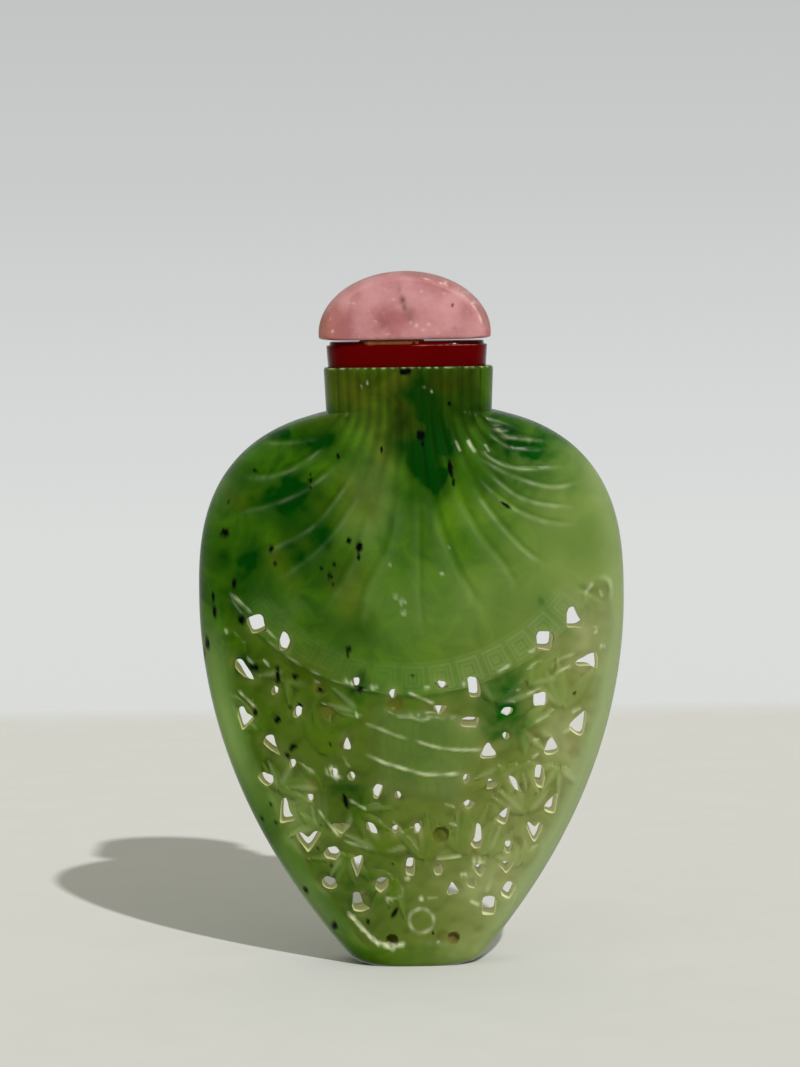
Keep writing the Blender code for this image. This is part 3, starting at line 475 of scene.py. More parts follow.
# Rolled scrolls at the ends of the band: centre, radius, hand.
SCROLLS = (((-19.8, 39.2), 1.6, -1.0), ((20.2, 40.2), 1.7, 1.0), ((-20.0, 35.8), 1.3, 1.0))
SCROLL_BOSS = 0.02
SCROLL_BEAD = 0.07


def scroll_relief(x, z, centre, radius, hand):
    """A rolled scroll: a spiral bead round a small boss."""
    dx, dz = (x - centre[0]) * hand, z - centre[1]
    r = np.hypot(dx, dz)
    turn = np.arctan2(dz, dx) / (2.0 * math.pi)
    coil = (r / radius * 2.0 - turn) % 1.0
    inside = ease(radius * 1.25, radius * 1.0, r)
    return inside * (SCROLL_BOSS + SCROLL_BEAD * np.clip(1.0 - ((coil - 0.5) / 0.45) ** 2, 0.0, 1.0))


GROUND = -0.42              # height of the ground between the blades, against the plain front
BASKET_MIDDLE = (1.2, 23.4)
BASKET_TILT = -9.0
BASKET_HALF_WIDTH = 6.6
BASKET_SIDE = 0.32          # how fast the basket narrows below its rim
BASKET_HEIGHT = 0.28        # over the ground
BASKET_BULGE = 0.10         # and so much more in its middle
TIER_STEPS = (0.04, 0.05)   # how much lower the basket lies under its rim, and again under the hoop
HOOP_DROP = 2.1             # the hoop's ends hang this far under the basket's middle
HOOP_SAG = 1.3
PANEL_PITCH = 2.75
STAVE_HALF_WIDTH = 0.33
STAVE_LEAN = 0.035          # how fast the staves draw together below the rim
LOW_STAVE_PITCH = 1.4
GROOVE_WIDTH = 0.13
GROOVE_DEPTHS = (0.09, 0.08)            # beside the staves over the hoop, and between those under it


def basket_place(x, z):
    """Place along and across the basket's rim, and how far below the rim it is, up to the basket's height."""
    along, up = turned(x, z, BASKET_MIDDLE, BASKET_TILT)
    return along, up, np.clip(1.0 - up, 0.0, 6.0)


def basket_share(x, z):
    """1 on the basket, falling softly to 0 round it."""
    along, up, below = basket_place(x, z)
    wide = BASKET_HALF_WIDTH - BASKET_SIDE * below
    return ease(1.08, 0.70, np.abs(along) / wide) * ease(-6.0, -4.0, up) * ease(4.8, 3.4, up)


def basket_relief(x, z):
    """The hung basket: a low bowl with a rim, two hoops and upright staves."""
    along, up, below = basket_place(x, z)
    inside = basket_share(x, z)
    sag = 1.0 - (along / BASKET_HALF_WIDTH) ** 2
    hoop = -HOOP_DROP - HOOP_SAG * sag
    tier = TIER_STEPS[0] * ease(0.6 - sag, 0.2 - sag, up) + TIER_STEPS[1] * ease(hoop + 0.2, hoop - 0.2, up)
    leaned = along * (1.0 + STAVE_LEAN * below)
    middle = np.abs((leaned / PANEL_PITCH) % 1.0 - 0.5) * PANEL_PITCH
    low_middle = np.abs((leaned / LOW_STAVE_PITCH) % 1.0 - 0.5) * LOW_STAVE_PITCH
    groove = np.where(up > hoop, GROOVE_DEPTHS[0] * bell(middle - STAVE_HALF_WIDTH, GROOVE_WIDTH),
                      GROOVE_DEPTHS[1] * bell(low_middle, GROOVE_WIDTH))
    bulge = BASKET_HEIGHT + BASKET_BULGE * (1.0 - (along / 7.5) ** 2)
    return inside * (bulge - tier - groove) + GROUND - 0.08 * (1.0 - inside)


BORDER_LEFT = 2.7
BORDER_RIGHT = 1.7
BORDER_SOFT = 0.6
BLADE_HEIGHT = 0.27
BLADE_FALL = 0.10           # how much lower a blade's tip lies than its stalk
BLADE_HOLLOW = 0.05         # depth of the hollow along a blade's edge
GROUND_SWELL = 0.08
GROUND_LOWEST = GROUND - 0.16


def edge_gap(x, z):
    """Distance of each point inside the silhouette from its side, measured level."""
    return half_width(z) - np.abs(x)


def opening_gap(x, z):
    """Rough distance from the edge of the nearest opening."""
    best = np.full(x.shape, 1e9)
    for ox, oz, width, height, turn, _ in OPENINGS:
        along, across = turned(x, z, (ox, oz), turn)
        out = np.hypot(along / (0.5 * width), across / (0.5 * height)) - 1.0
        best = np.minimum(best, out * 0.25 * (abs(width) + height))
    return best


def carved_field(x, z):
    """1 in the openwork field, 0 on the plain borders and above the band."""
    angle, rise = swag_coordinates(x, z)
    border = np.where(x < 0.0, BORDER_LEFT, BORDER_RIGHT)
    field = ease(border - BORDER_SOFT, border + BORDER_SOFT, edge_gap(x, z) + 0.3 * waves(x, z, 5.0, 9))
    step = 0.55 * ease(0.15, -0.45, rise) + 0.45 * ease(-0.2, -2.2, rise)
    below = np.where(np.abs(angle) < SWAG_HALF_ANGLE, step, ease(41.5, 40.0, z))
    return field * below * ease(1.6, 3.4, z + 0.03 * x * x)


def blades():
    """Every blade of the sprays: its form for blade(), how high it lies and how much pale abrasion and
    painted glint its crest gets.
    """
    rng = random.Random(11)
    made = []
    for x, z, heading, spread, count, length, width in SPRAYS:
        for k in range(count):
            turn = heading + spread * (k / (count - 1) - 0.5) + rng.uniform(-6.0, 6.0)
            start = rng.uniform(0.0, 0.5)
            stalk = (x + start * math.cos(math.radians(turn)), z + start * math.sin(math.radians(turn)))
            long, wide = length * rng.uniform(0.75, 1.1), width * rng.uniform(0.85, 1.15)
            spec = (stalk, long, wide, turn, rng.uniform(-0.9, 0.9))
            made.append((spec, rng.uniform(-0.05, 0.08), rng.choice((0.0, 0.0, 0.06, 0.18))))
    return made


def foliage(x, z):
    """Height of the blades over the ground, and the pale abrasion and painted glint on their crests."""
    height = np.full(x.shape, GROUND) + GROUND_SWELL * waves(x, z, 2.2, 5)
    abrasion_and_glint = np.zeros(x.shape)
    for spec, lift, abrasion_glint_share in blades():
        inside, share = blade(x, z, *spec)
        body = GROUND + lift + BLADE_HEIGHT * np.maximum(inside, 0.0) ** 0.7 - BLADE_FALL * share
        over = (body > height) & (inside > 0.0)
        rim = (inside <= 0.0) & (inside > -0.8)
        hollow = np.where(rim, height - BLADE_HOLLOW * (1.0 + inside), height)
        height = np.where(over, body, hollow)
        abrasion_and_glint = np.where(over, abrasion_glint_share * bell(1.0 - inside, 0.2) * ease(0.0, 0.3, share), abrasion_and_glint)
    return np.maximum(height, GROUND_LOWEST), abrasion_and_glint


def stroke_relief(x, z):
    """Height of the fine raised lines, and the pale abrasion and painted glint on their tops."""
    height, abrasion_and_glint = np.zeros(x.shape), np.zeros(x.shape)
    for spots, width, rise, abrasion_glint_share in STROKES:
        d, along = line_distance(x, z, spots)
        core = np.clip(1.0 - (d / (0.5 * width)) ** 2, 0.0, 1.0)
        ends = ease(-0.02, 0.12, along) * ease(1.02, 0.88, along)
        height = np.maximum(height, rise * core * ends)
        abrasion_and_glint = np.maximum(abrasion_and_glint, abrasion_glint_share * core ** 1.6 * ends)
    return height, abrasion_and_glint * patchy(x, z, 1.5, 41, 0.66, 0.50, 0.12)


def fold_relief(x, z):
    """Height of the gathered folds, a soft ridge with a sharper crease along one side, and the pale abrasion
    and painted glint on their ridges.  The folds of the right shoulder, where the lamp falls, get the most of
    it."""
    height, abrasion_and_glint = np.zeros(x.shape), np.zeros(x.shape)
    for spots, width, rise, side, abrasion_glint_share in FOLDS:
        d, along = line_distance(x, z, spots)
        signed = d * side
        ends = ease(-0.02, 0.2, along) * ease(1.02, 0.75, along)
        ridge = np.where(signed > 0.0, bell(signed, 0.28 * width), bell(signed, 0.6 * width))
        crease = bell(signed - 0.42 * width, 0.25 * width)
        height = height + ends * rise * (ridge - 0.55 * crease)
        # The folds of the right shoulder, where the lamp falls, get the most painted glint.
        share = 0.70 if spots[0][0] > 4.0 else 0.34
        abrasion_and_glint = np.maximum(abrasion_and_glint, share * abrasion_glint_share * ends * bell(d, 0.16))
    return height, abrasion_and_glint * patchy(x, z, 1.8, 47, 0.6, 0.6, 0.05)


RING_DEPTH = 0.08
CHIP_DEPTH = 0.16
CHIP_HALF_WIDTH = 0.34
DISH_DEPTH = 0.16           # how far the stone dips towards an opening
DISH_REACH = 0.35


def pit_relief(x, z):
    """Pits, drill holes, ring mark, chipped edge and small pale spots: height, olive tint, pale abrasion with
    painted glint, and brown.
    """
    height, olive, abrasion_and_glint, brown = (np.zeros(x.shape) for _ in range(4))
    for px, pz, radius, depth, tone in PITS:
        dent = np.exp(-(np.hypot(x - px, z - pz) / radius) ** 4)
        height -= depth * dent
        olive = np.maximum(olive, tone * dent)
        brown = np.maximum(brown, 0.3 * (1.0 - tone) * dent)
    for px, pz, radius, depth, tone in DRILLED:
        d = np.hypot(x - px, z - pz)
        height -= depth * ease(radius + 0.1, radius - 0.15, d)
        within = ease(radius + 0.15, radius - 0.1, d)
        olive = np.maximum(olive, tone * within)
        brown = np.maximum(brown, (1.0 - tone) * within)
    px, pz, radius, width = RING_MARK
    ring = bell(np.abs(np.hypot(x - px, z - pz) - radius), 0.5 * width)
    height -= RING_DEPTH * ring
    abrasion_and_glint = np.maximum(abrasion_and_glint, 0.8 * ring * patchy(x, z, 1.0, 51, 0.60, 0.45, 0.2))
    d, _ = line_distance(x, z, CHIP_EDGE)
    chip = np.clip(1.0 - (d / (CHIP_HALF_WIDTH + 0.16 * waves(x, z, 1.1, 52))) ** 2, 0.0, 1.0)
    height -= CHIP_DEPTH * chip * (1.0 + 0.6 * waves(x, z, 0.7, 53))
    abrasion_and_glint = np.maximum(abrasion_and_glint, 1.25 * chip * patchy(x, z, 0.8, 54, 0.75, 0.5, 0.2))
    for px, pz, radius in ABRASION_AND_GLINT_SPOTS:
        spot = np.exp(-(np.hypot(x - px, z - pz) / radius) ** 4)
        abrasion_and_glint = np.maximum(abrasion_and_glint, spot * patchy(x, z, 0.6, 55, 0.5, 0.8))
    return height, olive, abrasion_and_glint, brown


def front_carving(x, z):
    """Height of the carving over the plain front, its pale abrasion and painted glint, olive tint and brown
    stain.
    """
    field = carved_field(x, z)
    leaves, leaf_abrasion_glint = foliage(x, z)
    basket = basket_relief(x, z)
    in_basket = basket > leaves - 0.15 * ease(0.3, 0.6, basket - GROUND)
    carved = np.where(in_basket, basket, leaves)
    carved = carved - DISH_DEPTH * np.exp(-np.maximum(opening_gap(x, z), 0.0) / DISH_REACH)
    band, band_abrasion_glint = band_relief(x, z)
    height = field * carved + band
    abrasion_and_glint = np.maximum(field * np.where(in_basket, 0.0, leaf_abrasion_glint), band_abrasion_glint)
    for centre, radius, hand in SCROLLS:
        height = height + scroll_relief(x, z, centre, radius, hand)
    for part in (stroke_relief, fold_relief):
        more, more_abrasion_glint = part(x, z)
        height = height + more
        abrasion_and_glint = np.maximum(abrasion_and_glint, more_abrasion_glint)
    pits, olive, more_abrasion_glint, brown = pit_relief(x, z)
    plain = ease(0.0, 1.2, edge_gap(x, z))
    return (height + pits) * plain, np.maximum(abrasion_and_glint, more_abrasion_glint), olive, brown


# ---------------------------------------------------------------- mesh helpers
def add_tube(bm, columns, rows, place, groove=None):
    """Wrap a grid into a closed tube: place(i, j) gives the points of whole arrays of columns and rows, with
    a groove value after each point if there is a layer for it."""
    made = bmesh.ops.create_grid(bm, x_segments=columns, y_segments=rows, size=0.5)["verts"]
    co = np.array([v.co for v in made])
    i = np.rint((co[:, 0] + 0.5) * columns).astype(int) % columns
    j = np.rint((co[:, 1] + 0.5) * rows).astype(int)
    for vert, spot in zip(made, place(i, j).tolist()):
        vert.co = spot[:3]
        if groove:
            vert[groove] = spot[3]
    bmesh.ops.remove_doubles(bm, verts=made, dist=1e-4)
    ends = [e for e in bm.edges if e.is_boundary]
    bmesh.ops.holes_fill(bm, edges=ends, sides=0)


def wrapped_shell(columns, rows, place):
    """A closed tube in a bmesh of its own."""
    bm = bmesh.new()
    add_tube(bm, columns, rows, place)
    return bm


def finish(bm, name):
    """Turn a bmesh from millimetres to metres, its faces outwards, and link it as an object."""
    bmesh.ops.scale(bm, vec=(MM, MM, MM), verts=bm.verts)
    bmesh.ops.recalc_face_normals(bm, faces=bm.faces)
    mesh = bpy.data.meshes.new(name)
    bm.to_mesh(mesh)
    bm.free()
    obj = bpy.data.objects.new(name, mesh)
    bpy.context.scene.collection.objects.link(obj)
    return obj


def cut_away(target, tools):
    """Cut the tools out of the target for good, and remove them."""
    for tool in tools:
        mod = target.modifiers.new(tool.name, "BOOLEAN")
        mod.operation = "DIFFERENCE"
        mod.solver = "MANIFOLD"
        mod.object = tool
    graph = bpy.context.evaluated_depsgraph_get()
    mesh = bpy.data.meshes.new_from_object(target.evaluated_get(graph))
    old = target.data
    target.modifiers.clear()
    target.data = mesh
    bpy.data.meshes.remove(old)
    mesh.name = target.name
    for tool in tools:
        bpy.data.objects.remove(tool, do_unlink=True)


def coat(obj, *mats, index=0):
    """Give a piece its materials, with all its faces in one of them."""
    for mat in mats:
        obj.data.materials.append(mat)
    obj.data.polygons.foreach_set("material_index", [index] * len(obj.data.polygons))
    return obj


def dress(obj, slot_name, *nodes, sharp=38.0):
    """Smooth a piece and give it its place in the frame."""
    obj.data.shade_smooth()
    obj.data.set_sharp_from_angle(angle=math.radians(sharp))
    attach(obj, "root")
    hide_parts(*nodes)


def vertex_places(obj):
    """The x, y and z of a mesh's vertices, in millimetres."""
    co = np.zeros(len(obj.data.vertices) * 3, np.float32)
    obj.data.vertices.foreach_get("co", co)
    return (co.reshape(-1, 3).astype(float) / MM).T


def write_layer(obj, name, values):
    """Keep four values for each vertex on the mesh, as the red, green, blue and alpha of a colour layer."""
    layer = obj.data.color_attributes.new(name, "FLOAT_COLOR", "POINT")
    layer.data.foreach_set("color", np.stack(values, 1).astype(np.float32).ravel())


# ---------------------------------------------------------------- bottle mesh
def face_columns(per_flute, rim):
    """Places across the neck, from -1 at the left edge to 1 at the right one."""
    outer = 1.0 - (1.0 - FLUTE_REACH) * np.linspace(0.0, 1.0, rim, endpoint=False)
    middle = np.linspace(-FLUTE_REACH, FLUTE_REACH, FLUTES * per_flute + 1)
    return np.concatenate([-outer, middle, outer[::-1]])


def flute_profile(across):
    """Groove depth share at a place across the neck: soft grooves between round ribs."""
    phase = (across / FLUTE_REACH + 1.0) * 0.5 * FLUTES
    groove = (0.5 + 0.5 * np.cos(2.0 * math.pi * phase)) ** 1.3
    return np.where(np.abs(across) <= FLUTE_REACH, groove, 0.0)


def bottle_shell():
    """The outer skin of the bottle with all its relief, closed."""
    front = face_columns(FRONT_PER_FLUTE, FRONT_RIM)
    back = face_columns(BACK_PER_FLUTE, BACK_RIM)[::-1][1:-1]
    columns = np.concatenate([front, back])

    def place(i, j):
        across = columns[i]
        facing = i < len(front)
        neck_way = np.clip(1.0 - j / NECK_ROWS, 0.0, 1.0)
        fan_way = np.clip((j - NECK_ROWS) / FAN_ROWS, 0.0, 1.0)
        low_way = np.clip((j - NECK_ROWS - FAN_ROWS) / LOW_ROWS, 0.0, 1.0)
        neck_z = NECK_BASE_Z + (NECK_TOP_Z - NECK_BASE_Z) * neck_way
        flute_x, flute_z = fan_path(across, fan_way)
        rim_x, rim_z = rim_path(across, fan_way)
        ribbed = np.abs(across) <= FLUTE_REACH + 1e-9
        fan_x, fan_z = np.where(ribbed, flute_x, rim_x), np.where(ribbed, flute_z, rim_z)
        low_z = (1.0 - low_way) * fan_z
        low_x = fan_x / half_width(fan_z) * half_width(low_z)
        in_neck, in_low = j <= NECK_ROWS, j > NECK_ROWS + FAN_ROWS
        x = np.where(in_neck, across * half_width(neck_z), np.where(in_low, low_x, fan_x))
        z = np.where(in_neck, neck_z, np.where(in_low, low_z, fan_z))
        silhouette = np.abs(across) >= 1.0 - 1e-9
        depth = np.where(silhouette, 0.0, skin_depth(x, z))
        deeper = 1.0 + (FAN_DEEPER - 1.0) * ease(0.02, 0.2, fan_way)
        fade = np.where(in_low, 0.0, 1.0 - ease(0.18, 0.95, fan_way) ** 0.7)
        groove = fade * flute_profile(across)
        raised = np.where(facing, front_carving(x, z)[0], 0.0)
        depth = depth - FLUTE_DEPTH * deeper * groove + np.where(silhouette | in_neck, 0.0, raised)
        over_lip = np.clip((z - NECK_TOP_Z + LIP_ROUND) / LIP_ROUND, 0.0, 1.0)
        lip = LIP_ROUND * (1.0 - np.sqrt(1.0 - over_lip ** 2))
        x = x - np.copysign(lip, x) * np.abs(across)
        depth = np.maximum(depth - lip * 0.8, 0.0)
        return np.stack([x, np.where(facing, -depth, depth), z, groove], axis=1)

    bm = bmesh.new()
    rows = NECK_ROWS + FAN_ROWS + LOW_ROWS
    add_tube(bm, len(columns), rows, place, bm.verts.layers.float.new("stone_groove_shade"))
    return bm


def cavity_shell():
    """The hollow: a bore down the neck that opens into a flattened chamber."""
    columns = 48
    bore = np.array(BORE_RINGS)
    turns = np.radians(np.linspace(*CAVITY_TURNS))

    def place(i, j):
        turn = 2.0 * math.pi * i / columns
        in_bore = j < len(bore)
        rise = turns[np.clip(j - len(bore), 0, len(turns) - 1)]
        wide = np.where(in_bore, BORE_RADIUS, CAVITY_HALF_WIDTH * np.cos(rise))
        deep = np.where(in_bore, BORE_RADIUS, CAVITY_HALF_DEPTH * np.cos(rise) ** 0.2)
        chamber_z = CAVITY_MID_Z + CAVITY_HALF_HEIGHT * np.sin(rise)
        z = np.where(in_bore, bore[np.clip(j, 0, len(bore) - 1)], chamber_z)
        return np.stack([wide * np.cos(turn), deep * np.sin(turn), z], axis=1)

    return wrapped_shell(columns, len(bore) + len(turns) - 1, place)


def rounded(outline):
    """Cut the corners of an outline twice, a little and then more, so that it keeps a hint of them."""
    for keep in (0.84, 0.75):
        softer = []
        for a, b in zip(outline, outline[1:] + outline[:1]):
            softer.append((keep * a[0] + (1.0 - keep) * b[0], keep * a[1] + (1.0 - keep) * b[1]))
            softer.append(((1.0 - keep) * a[0] + keep * b[0], (1.0 - keep) * a[1] + keep * b[1]))
        outline = softer
    return outline


# Rings of an opening's cutter, from before the front to behind the back: depth, and size against the
# opening's outline.
CUT_RINGS = [(-12.0, 1.3), (-5.1, 1.22), (-4.5, 1.10), (-3.9, 1.02), (-1.5, 0.94),
             (1.5, 0.96), (3.9, 1.0), (4.7, 1.12), (12.0, 1.2)]
FRONT_FACE = -4.4           # depth at which an opening has its named place and size
SLANT = 0.135               # fall of an opening's floor towards the back, per millimetre of depth
HIGH_FALL_LESS = 0.80       # how much less the floor of a high opening falls
UNEVEN = (0.86, 1.12)       # between which shares of their distance the corners of an outline lie
NIBBLE = 0.045              # unevenness of an opening's outline at the front, against its size
DRIFT = 0.12                # how far an opening may wander between the middle plane and its faces
WALL_BETWEEN = 0.35         # stone left between an opening's floor and the opening below it
# Openings with a level floor, which hides what lies behind them.
LEVEL_FLOORS = [(6.0, 26.4), (8.3, 19.7), (9.9, 10.6), (2.4, 10.6), (-7.9, 15.1), (-3.7, 8.9), (6.1, 8.9)]


def floor_fall(opening):
    """How far an opening's floor may fall towards the back: little for the high ones, less with one below."""
    ox, oz, width, height = opening[:4]
    if (ox, oz) in LEVEL_FLOORS:
        return 0.0
    room = SLANT * 2.0 * abs(FRONT_FACE) - HIGH_FALL_LESS * float(ease(1.2, 2.2, np.array(height)))
    for other in OPENINGS:
        below = oz - other[1]
        if below > 0.2 and abs(ox - other[0]) < 0.6 * (abs(width) + abs(other[2])):
            room = min(room, below - 0.55 * (height + other[3]) - WALL_BETWEEN)
    return max(room, 0.0)


def opening_cutters():
    """All the openings as closed tubes, uneven and flared at both faces, with floors that fall away."""
    rng = random.Random(7)
    depths, sizes = np.array(CUT_RINGS).T
    bm = bmesh.new()
    for opening in OPENINGS:
        ox, oz, width, height, turn, kind = opening
        fall = floor_fall(opening)
        points = [(u * rng.uniform(*UNEVEN), v * rng.uniform(*UNEVEN)) for u, v in OUTLINES[kind]]
        outline = np.array(rounded(points)) * (0.5 * width, 0.5 * height)
        c, s = math.cos(math.radians(turn)), math.sin(math.radians(turn))
        drift_x, drift_z = rng.uniform(-DRIFT, DRIFT), rng.uniform(-DRIFT, DRIFT)
        round_it = np.arctan2(outline[:, 1], outline[:, 0])
        bites = [np.sin(count * round_it + rng.uniform(0.0, 6.28)) for count in (3.0, 5.0)]
        nibble = NIBBLE * (bites[0] + bites[1])

        def place(i, j):
            y = depths[j]
            size = sizes[j] + nibble[i] * ease(3.0, -4.0, y)
            u, v = outline[i, 0] * size, outline[i, 1] * size
            lean = np.clip(y / 4.0, -1.3, 1.3)
            up = u * s + v * c
            behind = np.clip((y - FRONT_FACE) / (2.0 * abs(FRONT_FACE)), 0.0, 1.2)
            low = np.clip(-2.0 * up / height, 0.0, 1.0) * behind
            x = ox + u * c - v * s + drift_x * lean
            return np.stack([x, y, oz + up - fall * low + drift_z * lean], 1)

        add_tube(bm, len(outline), len(depths) - 1, place)
    return bm


def build_bottle(polished, sawn):
    """The carved jade bottle: polished outside, as sawn inside its openings."""
    bottle = coat(finish(bottle_shell(), "jade_bottle"), polished, sawn)
    cavity = coat(finish(cavity_shell(), "cavity_tool"), polished, sawn)
    openings = coat(finish(opening_cutters(), "openings_tool"), polished, sawn, index=1)
    cut_away(bottle, [cavity, openings])
    tint_stone(bottle)
    dress(bottle, "jade", "bottle")


# ---------------------------------------------------------------- colour zones of the stone
# Soft oval patches, emerald, olive and so on: (x, z, half width, half height, strength).
EMERALD = [
    (-13.0, 50.6, 3.0, 3.2, 1.3), (-17.0, 44.2, 1.7, 2.5, 1.3), (-20.2, 44.8, 1.8, 2.2, 0.7),
    (1.2, 62.6, 1.5, 3.0, 0.7), (-14.3, 57.8, 2.0, 1.3, 1.2), (-10.4, 57.6, 2.4, 2.2, 0.9),
    (1.4, 49.0, 1.8, 4.6, 0.35), (-18.6, 54.0, 2.4, 2.0, 0.35), (-7.0, 60.6, 1.6, 2.0, 0.3),
    (2.2, 60.4, 2.4, 3.6, 1.5), (2.5, 56.6, 3.0, 3.4, 2.0), (2.3, 52.8, 1.6, 2.6, 1.3),
    (12.4, 56.6, 4.6, 2.4, 1.3), (10.0, 58.8, 3.0, 1.8, 1.0), (8.6, 53.6, 3.4, 2.6, 0.7),
    (6.0, 61.2, 1.4, 3.4, 0.9), (17.6, 53.0, 2.0, 2.6, 0.4), (-10.4, 46.6, 2.4, 2.8, 1.5),
    (-6.3, 36.5, 2.4, 2.2, 0.5), (12.5, 52.4, 4.0, 2.0, 0.6), (18.6, 46.4, 3.0, 3.0, 0.3),
    (-18.0, 41.6, 2.2, 3.4, 0.7), (-8.6, 43.0, 1.8, 1.8, 0.6), (-5.9, 30.2, 1.3, 1.1, 0.8),
    (-7.2, 18.6, 2.6, 3.0, 0.7), (9.6, 28.4, 2.6, 2.6, 0.95), (10.4, 25.8, 1.8, 1.8, 0.95),
    (14.5, 38.4, 3.4, 2.4, 0.3), (-7.0, 7.6, 5.0, 4.0, 0.35), (13.6, 39.3, 1.0, 1.0, 0.5),
    (-17.0, 32.9, 1.2, 1.2, 0.8), (-8.0, -0.6, 8.0, 2.0, 0.4), (-1.2, 59.3, 1.4, 1.8, 0.9)]
OLIVE = [
    (-6.0, 62.6, 4.6, 4.0, 0.95), (-8.0, 20.0, 7.0, 7.0, 0.6), (-13.0, 32.0, 6.0, 4.0, 0.6),
    (-1.4, 62.6, 1.6, 4.0, 1.2), (1.0, 12.0, 8.0, 5.0, 0.6), (-5.5, 51.0, 2.6, 3.4, 0.6),
    (11.0, 17.0, 6.0, 6.0, 0.5), (-3.0, 56.6, 1.6, 4.0, 0.7), (-13.5, 44.7, 1.8, 2.6, 0.6),
    (-17.3, 50.8, 1.9, 1.5, 0.5), (-9.7, 50.7, 1.6, 1.6, 0.4), (-6.6, 40.6, 2.0, 3.6, 0.7),
    (4.6, 63.4, 2.6, 1.6, 0.9), (18.5, 36.0, 2.6, 4.0, 0.5), (1.0, 3.0, 9.0, 4.6, 0.42),
    (8.0, 34.0, 7.0, 3.0, 0.35)]
# Darker brownish places on the neck and towards the foot.
DUSK = [
    (-1.2, 59.6, 1.6, 4.0, 0.55), (4.8, 63.6, 5.0, 2.4, 0.60), (5.4, 60.6, 3.6, 2.6, 0.45),
    (-3.4, 64.4, 3.4, 1.4, 0.5), (0.6, 63.0, 1.6, 2.6, 0.4), (-6.0, 0.4, 6.0, 1.6, 0.35),
    (1.6, 0.4, 4.0, 1.4, 0.25), (-5.6, 59.2, 3.4, 1.5, 0.35)]
# Paler, thinner places.
PALE = [
    (-3.8, 50.0, 2.4, 6.5, 0.22), (8.5, 8.6, 4.5, 5.0, 0.6), (16.5, 24.0, 2.6, 4.0, 0.6),
    (18.6, 35.4, 2.6, 4.2, 0.75), (-13.0, 16.6, 2.0, 4.2, 0.5), (12.0, 14.0, 3.0, 4.0, 0.45),
    (6.6, 2.2, 3.0, 2.6, 0.45), (6.0, 8.0, 3.6, 3.0, 0.25), (-20.8, 53.4, 2.0, 3.0, 0.3),
    (1.5, 38.0, 8.5, 5.8, 0.18), (-13.6, 38.8, 2.4, 2.4, 0.16)]
# Dark specks in the stone: (x, z, width, height, turn in degrees).
SPECKS = [
    (-5.5, 45.7, 0.7, 1.1, -10), (-6.6, 46.4, 0.5, 0.6, 0), (-5.6, 44.6, 0.4, 0.5, 0),
    (-19.9, 47.3, 0.7, 1.0, 10), (-6.9, 34.4, 0.4, 1.1, -10), (4.3, 53.9, 0.5, 1.8, 10),
    (1.2, 57.5, 0.9, 1.0, 0), (4.3, 60.8, 0.4, 0.5, 0), (-0.4, 64.3, 1.2, 0.7, 0),
    (-19.0, 41.8, 0.5, 1.1, -10), (-18.3, 37.9, 0.8, 0.9, 0), (-22.1, 35.2, 0.5, 1.3, 0),
    (-14.5, 31.6, 0.5, 1.6, 0), (-14.5, 32.7, 0.4, 0.4, 0), (-13.0, 24.0, 1.0, 0.6, 35),
    (-13.6, 23.1, 0.4, 0.7, 20), (-7.4, 18.1, 0.6, 1.4, 15), (-2.3, 5.9, 0.5, 1.1, -35),
    (-8.8, 4.4, 0.6, 0.9, -10), (-11.9, 8.3, 0.5, 0.8, 20), (-8.7, 42.6, 0.5, 0.7, 0),
    (-9.6, 43.4, 0.3, 0.4, 0), (-8.2, 43.9, 0.3, 0.5, 0), (-8.4, 41.7, 0.3, 0.4, 0),
    (-14.9, 45.6, 0.4, 0.7, 10), (-14.5, 44.0, 0.3, 0.6, 0), (-16.5, 53.9, 0.5, 0.4, 0),
    (-19.4, 50.6, 0.25, 0.4, 0), (-10.6, 52.9, 0.4, 0.5, 0), (-10.7, 52.1, 0.4, 0.3, 0),
    (-10.6, 53.5, 0.25, 0.3, 0), (-17.0, 32.7, 0.9, 0.7, 0), (-17.0, 27.8, 0.5, 0.8, 15),
    (-12.2, 28.6, 0.5, 0.5, 0), (-13.2, 28.3, 0.4, 0.3, 20), (-12.6, 31.7, 0.6, 0.6, 0),
    (-22.5, 33.8, 0.3, 1.5, 0), (-21.3, 40.3, 0.35, 1.0, 0), (-21.2, 38.8, 0.4, 1.2, 0),
    (-14.6, 27.0, 0.7, 0.7, 30), (-9.0, 24.3, 0.3, 0.3, 0), (-15.5, 17.8, 0.4, 0.4, 0),
    (-16.2, 20.1, 0.35, 0.35, 0), (-16.5, 16.1, 0.3, 0.5, 25), (-15.0, 15.8, 0.35, 0.4, 0),
    (-10.5, 13.0, 0.25, 0.3, 0), (-9.1, 11.1, 0.3, 0.35, 0), (-9.7, 9.1, 0.35, 0.6, 20),
    (-10.0, 30.2, 0.6, 0.5, 0), (-5.6, 30.3, 0.8, 0.6, 20), (-5.2, 4.9, 0.4, 0.5, 0),
    (-2.4, 11.2, 0.3, 0.3, 0), (-0.1, 31.7, 0.3, 0.3, 0), (1.8, 3.6, 0.3, 0.3, 0),
    (17.4, 29.4, 0.3, 0.3, 0), (10.1, 50.0, 1.3, 0.3, -35), (4.6, 52.5, 0.3, 0.8, 0),
    (1.4, 56.6, 0.3, 0.5, 0), (-7.6, 55.4, 0.3, 0.6, 20), (-3.0, 56.0, 0.25, 0.6, 0)]
BACK_SPECKS = (-4.0, 3.0)   # the back has the same specks, mirrored and moved by this much
DARK_SIDE_X = -17.0         # the stone is darkest left of here and palest right of the next, at middle height
PALE_SIDE_X = 27.0
TONE_MIDDLE_Z = 44.0
TONE_LEAN = 0.22            # how far the change from dark to pale moves left per millimetre down
NECK_DARKER = 6.0           # and how far it moves right on the neck


